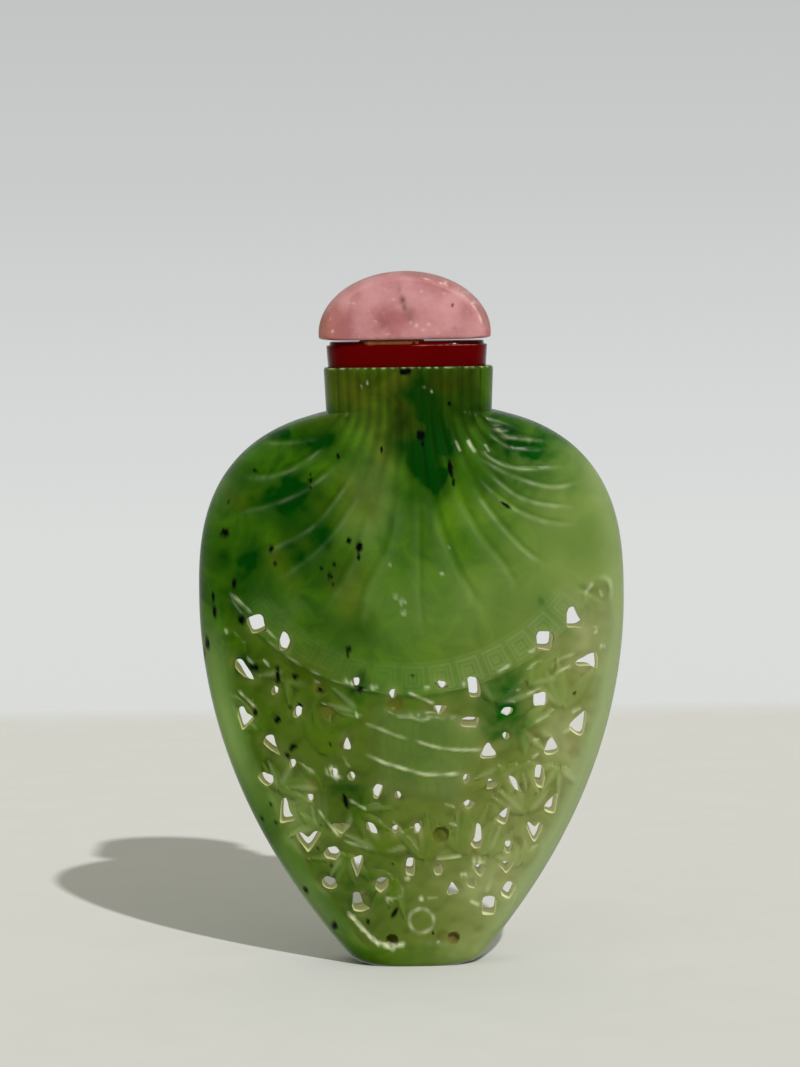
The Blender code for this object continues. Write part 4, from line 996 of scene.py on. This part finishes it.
def zone(x, z, patches, sharp=1.0):
    """Strength of the strongest of some soft oval patches at each point."""
    best = np.zeros(x.shape)
    for sx, sz, rx, rz, strength in patches:
        d = ((x - sx) / rx) ** 2 + ((z - sz) / rz) ** 2
        best = np.maximum(best, strength * np.exp(-d * sharp))
    return best


def specks(x, y, z):
    """1 in the dark specks of the front, and in the same ones moved about on the back."""
    front = y < 0.0
    sx, sz = np.where(front, x, BACK_SPECKS[0] - x), np.where(front, z, z + BACK_SPECKS[1])
    ragged = 1.0 + 0.2 * waves(x, z, 0.7, 31)
    dark = np.zeros(x.shape)
    for speck_x, speck_z, width, height, turn in SPECKS:
        along, across = turned(sx, sz, (speck_x, speck_z), turn)
        out = np.hypot(along / (0.5 * width), across / (0.5 * height))
        dark = np.maximum(dark, ease(1.4, 0.8, out * ragged))
    return dark * ease(0.2, 1.2, np.abs(y))


def lit_border(x, z):
    """How strongly light comes through the thin plain border: on the left only under the shoulder, brightest
    at z = 26 and dull about z = 15, and on the right more below than above."""
    left = (0.7 + 0.4 * bell(z - 26.0, 4.5) - 0.6 * bell(z - 15.0, 5.0)) * ease(40.0, 33.0, z)
    right = 0.85 - 0.50 * ease(30.0, 44.0, z)
    ends = ease(57.0, 52.0, z) * ease(1.5, 6.0, z)
    return ease(3.6, 0.8, edge_gap(x, z)) * ends * np.where(x < 0.0, left, right)


def tint_stone(obj):
    """Write the stone's colour zones, the carving's state and the painted light and shade on the mesh, as
    functions of place.
    """
    x, y, z = vertex_places(obj)
    front = y < 0.0
    warp_x = x + 1.1 * waves(x, z + y, 6.0, 21) + 0.4 * waves(x, z, 1.9, 23)
    warp_z = z + 1.1 * waves(x + y, z, 6.0, 22) + 0.4 * waves(x, z, 1.7, 24)
    leaned = x + TONE_LEAN * (TONE_MIDDLE_Z - z) + 1.5 * waves(x, z, 9.0, 25)
    tone = ease(DARK_SIDE_X, PALE_SIDE_X, leaned - NECK_DARKER * ease(55.0, 61.0, z))
    height, abrasion_and_glint, tint, brown = front_carving(x, z)
    height = np.where((z < NECK_BASE_Z) & front, height, 0.0)
    lip = ease(NECK_TOP_Z - 0.14, NECK_TOP_Z - 0.02, z) * patchy(x, y, 1.1, 35, 0.1, 0.9, 0.0, 0.6)
    abrasion_and_glint = np.maximum(np.where(front, abrasion_and_glint, 0.0), lip)
    across, up, shows = fret_place(x, z)
    # Painted glow: paler stone close to the openings, for the light that comes through the thin stone there.
    near_opening = np.exp(-np.maximum(opening_gap(x, z), 0.0) / 0.45)
    thin = near_opening * (0.6 + 0.4 * waves(x, z, 2.4, 33)) * ease(38.5, 36.5, z)
    field = carved_field(x, z)
    # Basket share over the field, and below zero painted shade where the relief dips under the plain front
    # outside the field, as in the folds' creases, pits and ring mark.
    basket_and_crease_shade = (basket_share(x, z) * field - ease(0.01, 0.07, -height) * (1.0 - field)) * front
    write_layer(obj, "stone_zones", (zone(warp_x, warp_z, EMERALD), zone(warp_x, warp_z, OLIVE, 0.9), tone,
                                     specks(x, y, z)))
    # Green channel of stone_carving: pale abrasion with painted glints.
    write_layer(obj, "stone_carving", (0.5 + height, np.clip(abrasion_and_glint, 0.0, 1.2), brown * front,
                                       lit_border(x, z)))
    write_layer(obj, "stone_fret", (across, up, shows * front, zone(warp_x, warp_z, PALE)))
    write_layer(obj, "stone_field", (thin, tint * front, zone(warp_x, warp_z, DUSK), basket_and_crease_shade))


# ---------------------------------------------------------------- stopper
CAP_SHOULDER_Z = 68.4
CAP_DOME = CAP_HIGH.z - CAP_SHOULDER_Z
CAP_BEVEL = 0.90            # size of the face inside the bevelled rim, against the outline
CAP_RIM_RADIUS = 9.0
# Soft spots of the cap: (x, z, half width, half height, strength).
CAP_FLAWS = [
    (-0.6, 71.9, 0.35, 0.5, 0.8), (-0.3, 71.2, 0.35, 0.6, 0.6), (0.2, 70.5, 0.5, 0.9, 0.35),
    (-0.9, 73.0, 0.25, 0.7, 0.35), (4.8, 71.2, 0.12, 0.12, 1.6), (-2.6, 69.6, 0.5, 0.4, 0.3),
    (5.0, 68.9, 0.2, 0.2, 0.4)]
CAP_CLOUDS = [
    (3.6, 70.8, 2.6, 2.0, 0.75), (1.0, 72.6, 1.6, 0.9, 0.35), (-4.4, 71.6, 1.2, 1.8, 0.35),
    (7.2, 69.4, 1.0, 1.0, 0.5), (1.2, 68.9, 2.4, 0.8, 0.6)]
# Pale specks of the cap, and painted glints on the bevelled rim at the upper right: (x, z, half width, half
# height, strength).
CAP_PALE_DOTS_AND_GLINTS = [
    (0.9, 69.2, 0.16, 0.20, 0.45), (0.3, 69.5, 0.14, 0.14, 0.35), (2.2, 69.3, 0.20, 0.14, 0.40),
    (1.6, 68.7, 0.18, 0.14, 0.35), (-5.7, 71.6, 0.14, 0.10, 0.45), (-6.3, 71.7, 0.12, 0.10, 0.35),
    (1.5, 72.8, 0.12, 0.10, 0.40), (-8.0, 68.7, 0.12, 0.16, 0.6), (-1.5, 72.0, 0.20, 0.10, 0.30),
    (4.0, 72.6, 0.10, 0.10, 0.35), (8.3, 68.8, 0.14, 0.14, 0.45), (-2.2, 68.3, 0.20, 0.08, 0.35),
    (6.3, 72.6, 0.3, 0.12, 0.5), (5.6, 73.0, 0.25, 0.12, 0.5), (7.0, 71.6, 0.12, 0.25, 0.4)]


def span(low, high):
    """Middle and half width of a node."""
    return 0.5 * (low.x + high.x), 0.5 * (high.x - low.x)


def oblong(turn, half_w, half_d, power):
    """Point of a superellipse at a turn round it."""
    c, s = np.cos(turn), np.sin(turn)
    x = np.copysign(np.abs(c) ** (2.0 / power), c) * half_w
    y = np.copysign(np.abs(s) ** (2.0 / power), s) * half_d
    return x, y


def rim_waves(turn, size, seed):
    """Soft uneven noise round the cap's rim."""
    return waves(CAP_RIM_RADIUS * np.cos(turn), CAP_RIM_RADIUS * np.sin(turn), size, seed)


def cap_rim(turn):
    """Nick depth of the cap's bevelled rim: small chips that catch the light, most of them on the right."""
    return 0.03 * np.clip(rim_waves(turn, 0.9, 61) - 0.2, 0.0, 1.0) * ease(0.2, 0.7, np.cos(turn))


def tint_cap(cap, middle_x, half_w):
    """Write the quartz's flaws, pale specks with painted glints, the painted shade of the bevelled rim and
    the clouds on the cap, as functions of place.
    """
    x, y, z = vertex_places(cap)
    turn = np.arctan2(z - CAP_SHOULDER_Z, x - middle_x)
    size = np.hypot((x - middle_x) / half_w, (z - CAP_SHOULDER_Z) / CAP_DOME)
    above = ease(CAP_SHOULDER_Z + 0.2, CAP_SHOULDER_Z + 1.2, z)
    front = y < 0.0
    right = np.cos(turn)
    # Painted shade: the bevelled rim greyer and darker, most on the right, where it turns away at a grazing
    # angle.
    bevel_shade = ease(CAP_BEVEL - 0.01, CAP_BEVEL + 0.02, size) * above * (0.35 + 0.65 * ease(-0.4, 0.3, right))
    # Painted glints along the edge of the bevelled rim, on the right where the lamp falls.
    glints = 1.1 * bell(size - CAP_BEVEL - 0.004, 0.010) * above * ease(-0.1, 0.25, right)
    glints = glints * np.clip(0.30 + 0.9 * rim_waves(turn, 1.6, 62), 0.0, 1.0)
    wx, wz = x + 0.12 * waves(x, z, 1.2, 63), z + 0.12 * waves(x, z, 1.2, 64)
    pale_dots_and_glints = np.maximum(zone(x, z, CAP_PALE_DOTS_AND_GLINTS), 0.9 * glints)
    write_layer(cap, "quartz_state", (zone(wx, wz, CAP_FLAWS) * front, pale_dots_and_glints * front, bevel_shade,
                                      zone(wx, wz, CAP_CLOUDS)))


def build_cap(mat):
    """The pink cap: a half-moon slab with nearly flat faces and a bevelled rim."""
    middle_x, half_w = span(CAP_LOW, CAP_HIGH)
    dome = np.radians(np.linspace(0.0, 180.0, 181))
    under = np.radians(np.linspace(180.0, 360.0, 91)[1:-1])
    under_x, under_z = oblong(under, half_w, CAP_SHOULDER_Z - CAP_LOW.z, 6.0)
    out_x = np.concatenate([half_w * np.cos(dome), under_x])
    out_z = np.concatenate([CAP_DOME * np.sin(dome), under_z])
    turn = np.arctan2(out_z, out_x)
    # From the rim's middle to the face: share of the half depth, size of the outline there.
    slices = [(0.70, 1.0), (0.76, 0.994), (0.90, 0.925), (0.935, CAP_BEVEL), (0.95, CAP_BEVEL - 0.02)]
    slices += [(1.0 - 0.06 * size ** 4, size) for size in np.linspace(0.86, 0.02, 36)]
    depths, sizes = np.array([(-d, size) for d, size in reversed(slices)] + slices).T

    def place(i, j):
        on_bevel = np.abs(np.abs(depths[j]) - 0.85) < 0.09
        size = sizes[j] - cap_rim(turn[i]) * on_bevel
        y = depths[j] * CAP_HIGH.y
        return np.stack([middle_x + out_x[i] * size, y, CAP_SHOULDER_Z + out_z[i] * size], axis=1)

    cap = coat(finish(wrapped_shell(len(out_x), len(depths) - 1, place), "rose_cap"), mat)
    tint_cap(cap, middle_x, half_w)
    dress(cap, "rose_quartz", "stopper_cap", sharp=60.0)


def build_collar(mat):
    """The red glass collar: an oblong plate down to the lip of the neck, with a low step under the cap."""
    columns = 128
    middle_x, half_w = span(COLLAR_LOW, COLLAR_HIGH)
    low, high = NECK_TOP_Z + 0.02, COLLAR_HIGH.z
    edge = 0.10
    heights, sizes = np.array([
        (low, 0.972), (low + 0.3 * edge, 0.980), (low + edge, 0.984), (high - edge, 1.0),
        (high - 0.3 * edge, 0.998), (high, 0.990), (high, 0.968), (high + 0.03, 0.964),
        (CAP_LOW.z - 0.16, 0.955)]).T

    def place(i, j):
        x, y = oblong(2.0 * math.pi * i / columns, half_w * sizes[j], COLLAR_HIGH.y * sizes[j], 4.0)
        return np.stack([x + middle_x, y, heights[j]], axis=1)

    collar = coat(finish(wrapped_shell(columns, len(heights) - 1, place), "glass_collar"), mat)
    dress(collar, "red_glass", "stopper_collar")


def build_cement(mat):
    """The uneven cement between the collar and the cap, squeezed out a little at the faces."""
    columns = 96
    phases = np.random.default_rng(5).uniform(0.0, 6.28, 3)
    heights = np.array([COLLAR_HIGH.z + 0.02, COLLAR_HIGH.z + 0.20, CAP_LOW.z - 0.12, CAP_LOW.z + 0.05])
    swell = np.array([0.98, 1.0, 1.0, 0.97])
    middle_x, half_w = span(CEMENT_LOW, CEMENT_HIGH)
    half_d = 0.975 * COLLAR_HIGH.y

    def place(i, j):
        turn = 2.0 * math.pi * i / columns
        ripple = 0.012 * np.sin(9.0 * turn + phases[0]) + 0.010 * np.sin(23.0 * turn + phases[1])
        size = swell[j] * (1.0 + ripple)
        x, y = oblong(turn, half_w * size, half_d * size, 9.0)
        drift = 0.03 * np.sin(13.0 * turn + phases[2]) * (j == 1)
        return np.stack([x + middle_x, y, heights[j] + drift], axis=1)

    pad = coat(finish(wrapped_shell(columns, len(heights) - 1, place), "cement_pad"), mat)
    dress(pad, "cement", "stopper_cement")


# ---------------------------------------------------------------- materials
def linear(code):
    """An sRGB hex colour as linear RGBA."""
    parts = [int(code[k:k + 2], 16) / 255.0 for k in (0, 2, 4)]
    return [c / 12.92 if c <= 0.04045 else ((c + 0.055) / 1.055) ** 2.4 for c in parts] + [1.0]


def add(tree, kind, inputs=None, **settings):
    """Add a node with its settings, and give back its outputs.

    Each input is linked to a socket, or is set to a number or a hex colour.  Sockets that share a name go by
    number: the values of a Math node are 0 and 1, and of a Mix node the share is 0, the colours are 6 and 7
    and the colour out is 2."""
    node = tree.nodes.new("ShaderNode" + kind)
    for name, value in settings.items():
        setattr(node, name, value)
    for name, value in (inputs or {}).items():
        if isinstance(value, bpy.types.NodeSocket):
            tree.links.new(value, node.inputs[name])
        else:
            node.inputs[name].default_value = linear(value) if isinstance(value, str) else value
    return node.outputs


def new_material(name, values):
    """A Principled material with plain values on its shader; gives it, its tree and the shader's sockets."""
    mat = bpy.data.materials.new(name)
    mat.use_nodes = True
    sockets = mat.node_tree.nodes["Principled BSDF"].inputs
    for socket, value in values.items():
        sockets[socket].default_value = value
    return mat, mat.node_tree, sockets


def per_100_mm(count):
    """Noise scale that gives so many grains in 100 mm of stone."""
    return count / (100.0 * MM)


def blend(tree, value, first, second, low=0.0, high=1.0, most=1.0, least=0.0):
    """Go from the first colour to the second as a value goes from low to high, at least the least share of
    the way and at most the most."""
    share = add(tree, "MapRange", {"Value": value, "From Min": low, "From Max": high, "To Min": least,
                                   "To Max": most})["Result"]
    return add(tree, "Mix", {0: share, 6: first, 7: second}, data_type="RGBA")[2]


def layer_values(tree, name):
    """The four values of a colour layer."""
    layer = add(tree, "Attribute", attribute_name=name)
    split = add(tree, "SeparateColor", {"Color": layer["Color"]})
    return split["Red"], split["Green"], split["Blue"], layer["Alpha"]


def stone_colour(tree, cloud):
    """The nephrite's colour: deep green on the left, paler on the right, with emerald and olive zones, and
    over the carving painted shade in its creases and hollows, painted highlight on its crests and a painted
    glow by the openings and the thin border.
    """
    emerald, olive, tone, _ = layer_values(tree, "stone_zones")
    height, _, _, border = layer_values(tree, "stone_carving")
    thin, pit, dusk, basket_and_crease_shade = layer_values(tree, "stone_field")
    pale = layer_values(tree, "stone_fret")[3]
    stone = blend(tree, cloud, "1c4c00", "437202", 0.34, 0.66)
    middle = blend(tree, cloud, "386804", "59820e", 0.34, 0.66)
    stone = blend(tree, tone, stone, middle, 0.0, 0.5)
    stone = blend(tree, tone, stone, blend(tree, cloud, "768a42", "8fa25e"), 0.5, 1.0)
    # Coats from the lowest up: what drives each, where it begins and is full, its greatest share, and what
    # carries its own colour from the first code to the second.
    for value, low, high, most, shade, first, second in (
            (olive, 0.0, 1.0, 0.75, cloud, "4c4a02", "6c7016"),         # olive clouds
            (basket_and_crease_shade, 0.0, -1.0, 0.40, tone, "143c00", "4a6c28"),         # painted shade in the creases beside the folds
            (height, 0.42, 0.10, 0.80, tone, "466010", "747e3a"),       # sunk ground
            (height, 0.06, -0.04, 0.60, tone, "203a00", "4c5c18"),      # crevices, darker: partly dirt, partly painted shade
            (height, 0.48, 0.62, 0.25, tone, "52703a", "8b9c68"),       # raised crests, paler: painted highlight
            (basket_and_crease_shade, 0.0, 1.0, 0.45, tone, "56663a", "767e52"),          # the basket
            (thin, 0.0, 1.0, 0.50, tone, "848c4a", "aaa878"),           # painted glow of the light through the thin stone by the openings
            (pit, 0.0, 1.0, 0.85, cloud, "525a0c", "6e7424"),           # pits and drill holes
            (pale, 0.0, 1.0, 1.0, tone, "86a058", "a4aa7c"),            # paler places
            (border, 0.0, 1.0, 1.0, tone, "7f9c56", "98a67c")):         # the lit border
        stone = blend(tree, value, stone, blend(tree, shade, first, second), low, high, most)
    strength = add(tree, "MapRange", {"Value": cloud, "From Min": 0.32, "From Max": 0.64, "To Min": 0.45,
                                      "To Max": 1.4})["Result"]
    patch = add(tree, "Math", {0: emerald, 1: strength}, operation="MULTIPLY", use_clamp=True)[0]
    stone = blend(tree, patch, stone, blend(tree, tone, "003c00", "0c6004", 0.5, 1.0))
    return blend(tree, dusk, stone, "1e2400")


def fret_lines(tree):
    """Faint nested squares of the key-fret band: the share of pale colour on their lines, over a faint pale
    wash on the whole band that is a painted sheen.
    """
    across, up, shows, _ = layer_values(tree, "stone_fret")
    square = add(tree, "Math", {0: across, 1: up}, operation="MAXIMUM")[0]
    ripple = add(tree, "Math", {0: square, 1: 0.5 * FRET_LINE_SPACING}, operation="PINGPONG")[0]
    line = add(tree, "MapRange", {"Value": ripple, "From Min": 0.07, "From Max": 0.16, "To Min": 0.05,
                                  "To Max": 0.24})["Result"]
    return add(tree, "Math", {0: line, 1: shows}, operation="MULTIPLY")[0]


def jade_material():
    """Nephrite, carved and waxed: deep green with soft depth and a low gloss, emerald and olive clouds, pale
    abraded edges with painted glints, painted shade in the flute grooves, a faint painted sheen on the
    key-fret band, brown dirt in the crumbled places and black specks."""
    mat, tree, skin = new_material("polished_nephrite", {
        "Roughness": 0.27, "IOR": 1.61, "Specular IOR Level": 0.35, "Subsurface Weight": 1.0,
        "Subsurface Radius": (0.7, 1.0, 0.3), "Subsurface Scale": 0.35 * MM})
    place = add(tree, "TexCoord")["Object"]
    cloud = add(tree, "TexNoise", {"Vector": place, "Scale": per_100_mm(24), "Detail": 5.0, "Roughness": 0.6,
                                   "Distortion": 0.8})["Fac"]
    fine = add(tree, "TexNoise", {"Vector": place, "Scale": per_100_mm(110), "Detail": 3.0,
                                  "Roughness": 0.6})["Fac"]
    groove = add(tree, "Attribute", attribute_name="stone_groove_shade")["Fac"]
    _, abrasion_and_glint, brown, _ = layer_values(tree, "stone_carving")
    # Painted shade in the flute grooves, by their depth.
    colour = blend(tree, groove, stone_colour(tree, cloud), "1c3a04", 0.25, 1.0, 0.30)
    # Fret lines, and a painted sheen over the band.
    colour = blend(tree, fret_lines(tree), colour, "8ba36c")
    # Pale abraded edges and painted glints.
    colour = blend(tree, abrasion_and_glint, colour, "c4cca6")
    colour = blend(tree, brown, colour, blend(tree, fine, "5c4a08", "9c8a58"))
    colour = blend(tree, layer_values(tree, "stone_zones")[3], colour, "020702")
    tree.links.new(colour, skin["Base Color"])
    bump = add(tree, "Bump", {"Height": fine, "Strength": 0.10, "Distance": 0.1 * MM})
    tree.links.new(bump["Normal"], skin["Normal"])
    return mat


def sawn_jade_material():
    """Nephrite as the saw left it inside the openings: matt, and pale with the light that the thin stone lets
    in, greener and less lit towards the back, and green by both faces."""
    mat, tree, skin = new_material("sawn_nephrite", {
        "Roughness": 0.85, "Specular IOR Level": 0.08, "Subsurface Weight": 1.0,
        "Subsurface Radius": (1.0, 0.95, 0.55), "Subsurface Scale": 0.8 * MM, "Emission Strength": 0.19})
    place = add(tree, "TexCoord")["Object"]
    grain = add(tree, "TexNoise", {"Vector": place, "Scale": per_100_mm(70), "Detail": 3.0})["Fac"]
    tone = layer_values(tree, "stone_zones")[2]
    depth = add(tree, "SeparateXYZ", {"Vector": place})["Y"]
    colour = blend(tree, grain, blend(tree, tone, "b2b780", "cacba4"), "a6a46c", 0.45, 0.75, 0.5)
    colour = blend(tree, depth, colour, "8c9658", 1.5 * MM, 4.5 * MM, 0.5)
    # Emission colour: a painted glow for the light that the thin stone lets in, dimmer towards the back.
    lit = blend(tree, depth, colour, "101404", 1.0 * MM, 4.2 * MM, 0.7)
    by_faces = blend(tree, tone, "46561c", "7a7c48")
    for face, inside in ((-4.0, -3.1), (4.7, 4.2)):
        colour = blend(tree, depth, by_faces, colour, face * MM, inside * MM)
        lit = blend(tree, depth, "1c2406", lit, face * MM, inside * MM)
    tree.links.new(colour, skin["Base Color"])
    tree.links.new(lit, skin["Emission Color"])
    return mat


def quartz_material():
    """Rose quartz, cut and polished: milky dusty pink with paler clouds, a brown flaw, a tan skin on the
    left, painted shade on the bevelled rim and pale specks with painted glints."""
    mat, tree, skin = new_material("polished_rose_quartz", {
        "Roughness": 0.30, "IOR": 1.54, "Specular IOR Level": 0.4, "Subsurface Weight": 1.0,
        "Subsurface Radius": (1.0, 0.5, 0.45), "Subsurface Scale": 0.5 * MM})
    place = add(tree, "TexCoord")["Object"]
    cloud = add(tree, "TexNoise", {"Vector": place, "Scale": per_100_mm(30), "Detail": 4.0,
                                   "Roughness": 0.55})["Fac"]
    grain = add(tree, "TexNoise", {"Vector": place, "Scale": per_100_mm(90), "Detail": 3.0,
                                   "Roughness": 0.7})["Fac"]
    left = add(tree, "SeparateXYZ", {"Vector": place})["X"]
    flaws, pale_dots_and_glints, bevel_shade, clouds = layer_values(tree, "quartz_state")
    colour = blend(tree, cloud, "a86c6e", "c49296", 0.38, 0.64)
    colour = blend(tree, grain, colour, "e0bcb4", 0.62, 0.76, 0.6)
    colour = blend(tree, left, colour, "b0704c", -6.8 * MM, -9.4 * MM, 0.45)
    colour = blend(tree, clouds, colour, "d8a4a8", most=0.7)
    # Painted shade on the bevelled rim.
    colour = blend(tree, bevel_shade, colour, "94706c", most=0.55)
    colour = blend(tree, flaws, colour, "6c3c34")
    # Pale specks and painted glints.
    colour = blend(tree, pale_dots_and_glints, colour, "f4e0dc")
    tree.links.new(colour, skin["Base Color"])
    bump = add(tree, "Bump", {"Height": grain, "Strength": 0.15, "Distance": 0.1 * MM})
    tree.links.new(bump["Normal"], skin["Normal"])
    return mat


def glass_material():
    """Red glass, ground and polished: so deep that it shows almost black-red, with a painted highlight as a
    thin bright edge along the top on the right."""
    mat, tree, skin = new_material("ruby_glass", {
        "Roughness": 0.14, "IOR": 1.52, "Specular IOR Level": 0.2, "Subsurface Weight": 0.5,
        "Subsurface Radius": (1.0, 0.05, 0.05), "Subsurface Scale": 0.8 * MM})
    place = add(tree, "TexCoord")["Object"]
    cloud = add(tree, "TexNoise", {"Vector": place, "Scale": per_100_mm(15), "Detail": 3.0})["Fac"]
    highlight_breaks = add(tree, "TexNoise", {"Vector": place, "Scale": per_100_mm(140), "Detail": 2.0})["Fac"]
    spot = add(tree, "SeparateXYZ", {"Vector": place})
    glass = blend(tree, cloud, "4e0001", "640002")
    top = COLLAR_HIGH.z
    # Painted highlight: a thin pale line along the top edge, on the right only, broken up by noise.
    colour = "b07068"
    for value, low, high, most, least in (
            (highlight_breaks, 0.40, 0.60, 1.0, 0.2),
            (spot["X"], 0.0, 1.5 * MM, 1.0, 0.0),
            (spot["Z"], (top + 0.020) * MM, (top + 0.005) * MM, 1.0, 0.0),
            (spot["Z"], (top - 0.12) * MM, (top - 0.05) * MM, 0.7, 0.0)):
        colour = blend(tree, value, glass, colour, low, high, most, least)
    tree.links.new(colour, skin["Base Color"])
    return mat


def cement_material():
    """Old resin cement: amber brown, rough and crumbly."""
    mat, tree, skin = new_material("amber_cement", {"Roughness": 0.7})
    place = add(tree, "TexCoord")["Object"]
    grit = add(tree, "TexNoise", {"Vector": place, "Scale": per_100_mm(250), "Detail": 4.0})["Fac"]
    tree.links.new(blend(tree, grit, "5a2a0a", "905824"), skin["Base Color"])
    return mat


# ---------------------------------------------------------------- stage, light and camera
TABLE_HALF_WIDTH = 1500.0
TABLE_END = 246.0           # how far behind the bottle the table ends
TABLE_FADE = 30.0
# Backdrop by the sine of its height over the horizon.
SKY = [
    (-0.13, "dadcda"), (-0.07, "dbdddb"), (-0.02, "d3d6d5"), (0.03, "c9cccb"), (0.09, "c1c4c3"),
    (0.5, "c4c7c6"), (1.0, "d2d4d3")]
SKY_LOW = -0.2              # the rise at which that scale begins
BOUNCE = (0.81, 0.78, 0.66, 1.0)    # warmer and dimmer where the sky only lights the matt surfaces
LAMP_AZIMUTH = math.radians(22.0)
LAMP_ELEVATION = math.radians(39.0)
LAMP_COLOUR = (1.0, 0.98, 0.94)
CAMERA_PLACE = (-1.15, -381.1, 72.65)
CAMERA_DOWN = math.radians(3.9)
CAMERA_ROLL = math.radians(-0.8)


def build_stage():
    """A pale matte table that fades out behind, under a soft pale sky."""
    bm = bmesh.new()
    bmesh.ops.create_grid(bm, x_segments=1, y_segments=1, size=TABLE_HALF_WIDTH)
    for vert in bm.verts:
        if vert.co.y > 0.0:
            vert.co.y = TABLE_END
    floor = finish(bm, "table_top")
    mat, tree, skin = new_material("matte_paper", {"Roughness": 0.9, "Specular IOR Level": 0.1})
    place = add(tree, "TexCoord")["Object"]
    behind = add(tree, "SeparateXYZ", {"Vector": place})["Y"]
    fade = add(tree, "MapRange", {"Value": behind, "From Min": (TABLE_END - TABLE_FADE) * MM,
                                  "From Max": TABLE_END * MM, "To Min": 1.0, "To Max": 0.0},
               interpolation_type="SMOOTHSTEP")["Result"]
    grain = add(tree, "TexNoise", {"Vector": place, "Scale": per_100_mm(12), "Detail": 6.0})["Fac"]
    tree.links.new(blend(tree, grain, "d2d3d4", "d8d9da"), skin["Base Color"])
    tree.links.new(fade, skin["Alpha"])
    floor.data.materials.append(mat)
    floor.visible_glossy = False


def build_sky():
    """A soft sky that pales towards the table's far edge, and is dim in gloss from the front."""
    world = bpy.data.worlds.new("studio")
    bpy.context.scene.world = world
    world.use_nodes = True
    tree = world.node_tree
    back = tree.nodes["Background"].inputs
    towards = add(tree, "SeparateXYZ", {"Vector": add(tree, "TexCoord")["Generated"]})
    height = add(tree, "MapRange", {"Value": towards["Z"], "From Min": SKY_LOW, "From Max": 1.0})["Result"]
    ramp = add(tree, "ValToRGB", {"Fac": height})["Color"]
    stops = ramp.node.color_ramp.elements
    while len(stops) < len(SKY):
        stops.new(0.5)
    for stop, (rise, code) in zip(stops, SKY):
        stop.position = (rise - SKY_LOW) / (1.0 - SKY_LOW)
        stop.color = linear(code)
    ray = add(tree, "LightPath")
    shade = add(tree, "Mix", {0: ray["Is Diffuse Ray"], 6: ramp, 7: BOUNCE}, data_type="RGBA",
                blend_type="MULTIPLY")[2]
    tree.links.new(shade, back["Color"])
    dim = add(tree, "MapRange", {"Value": towards["Y"], "From Min": -0.4, "From Max": 1.0, "To Min": 0.03,
                                 "To Max": 0.75})["Result"]
    strength = add(tree, "Mix", {"Factor": ray["Is Glossy Ray"], "A": 1.0, "B": dim}, data_type="FLOAT")
    tree.links.new(strength["Result"], back["Strength"])


def build_lamps():
    """A lamp in front on the right that lights without a glint, and a faint one in its place that only
    glints."""
    level = math.cos(LAMP_ELEVATION)
    towards = Vector((math.sin(LAMP_AZIMUTH) * level, -math.cos(LAMP_AZIMUTH) * level,
                      math.sin(LAMP_ELEVATION)))
    for name, energy, width, gloss in (("key", 2.6, 1.2, False), ("glint", 0.35, 2.5, True)):
        lamp = bpy.data.lights.new(name, "SUN")
        lamp.energy = energy
        lamp.angle = math.radians(width)
        lamp.color = LAMP_COLOUR
        sun = bpy.data.objects.new(name, lamp)
        bpy.context.scene.collection.objects.link(sun)
        sun.rotation_mode = "QUATERNION"
        sun.rotation_quaternion = towards.to_track_quat("Z", "Y")
        sun.visible_glossy = gloss
        sun.visible_diffuse = not gloss


def build_camera():
    """The camera in front of the bottle, level with the shoulder and looking slightly down."""
    data = bpy.data.cameras.new("camera")
    data.lens = 119.0
    data.sensor_width = 36.0
    data.clip_start = 0.01
    data.clip_end = 10.0
    camera = bpy.data.objects.new("camera", data)
    bpy.context.scene.collection.objects.link(camera)
    camera.matrix_world = (Matrix.Translation(Vector(CAMERA_PLACE) * MM)
                           @ Matrix.Rotation(math.radians(90.0) - CAMERA_DOWN, 4, "X")
                           @ Matrix.Rotation(CAMERA_ROLL, 4, "Z"))
    bpy.context.scene.camera = camera


build_camera()
build_sky()
build_lamps()
build_stage()
build_bottle(jade_material(), sawn_jade_material())
build_collar(glass_material())
build_cement(cement_material())
build_cap(quartz_material())
bpy.context.scene.view_settings.view_transform = "Standard"
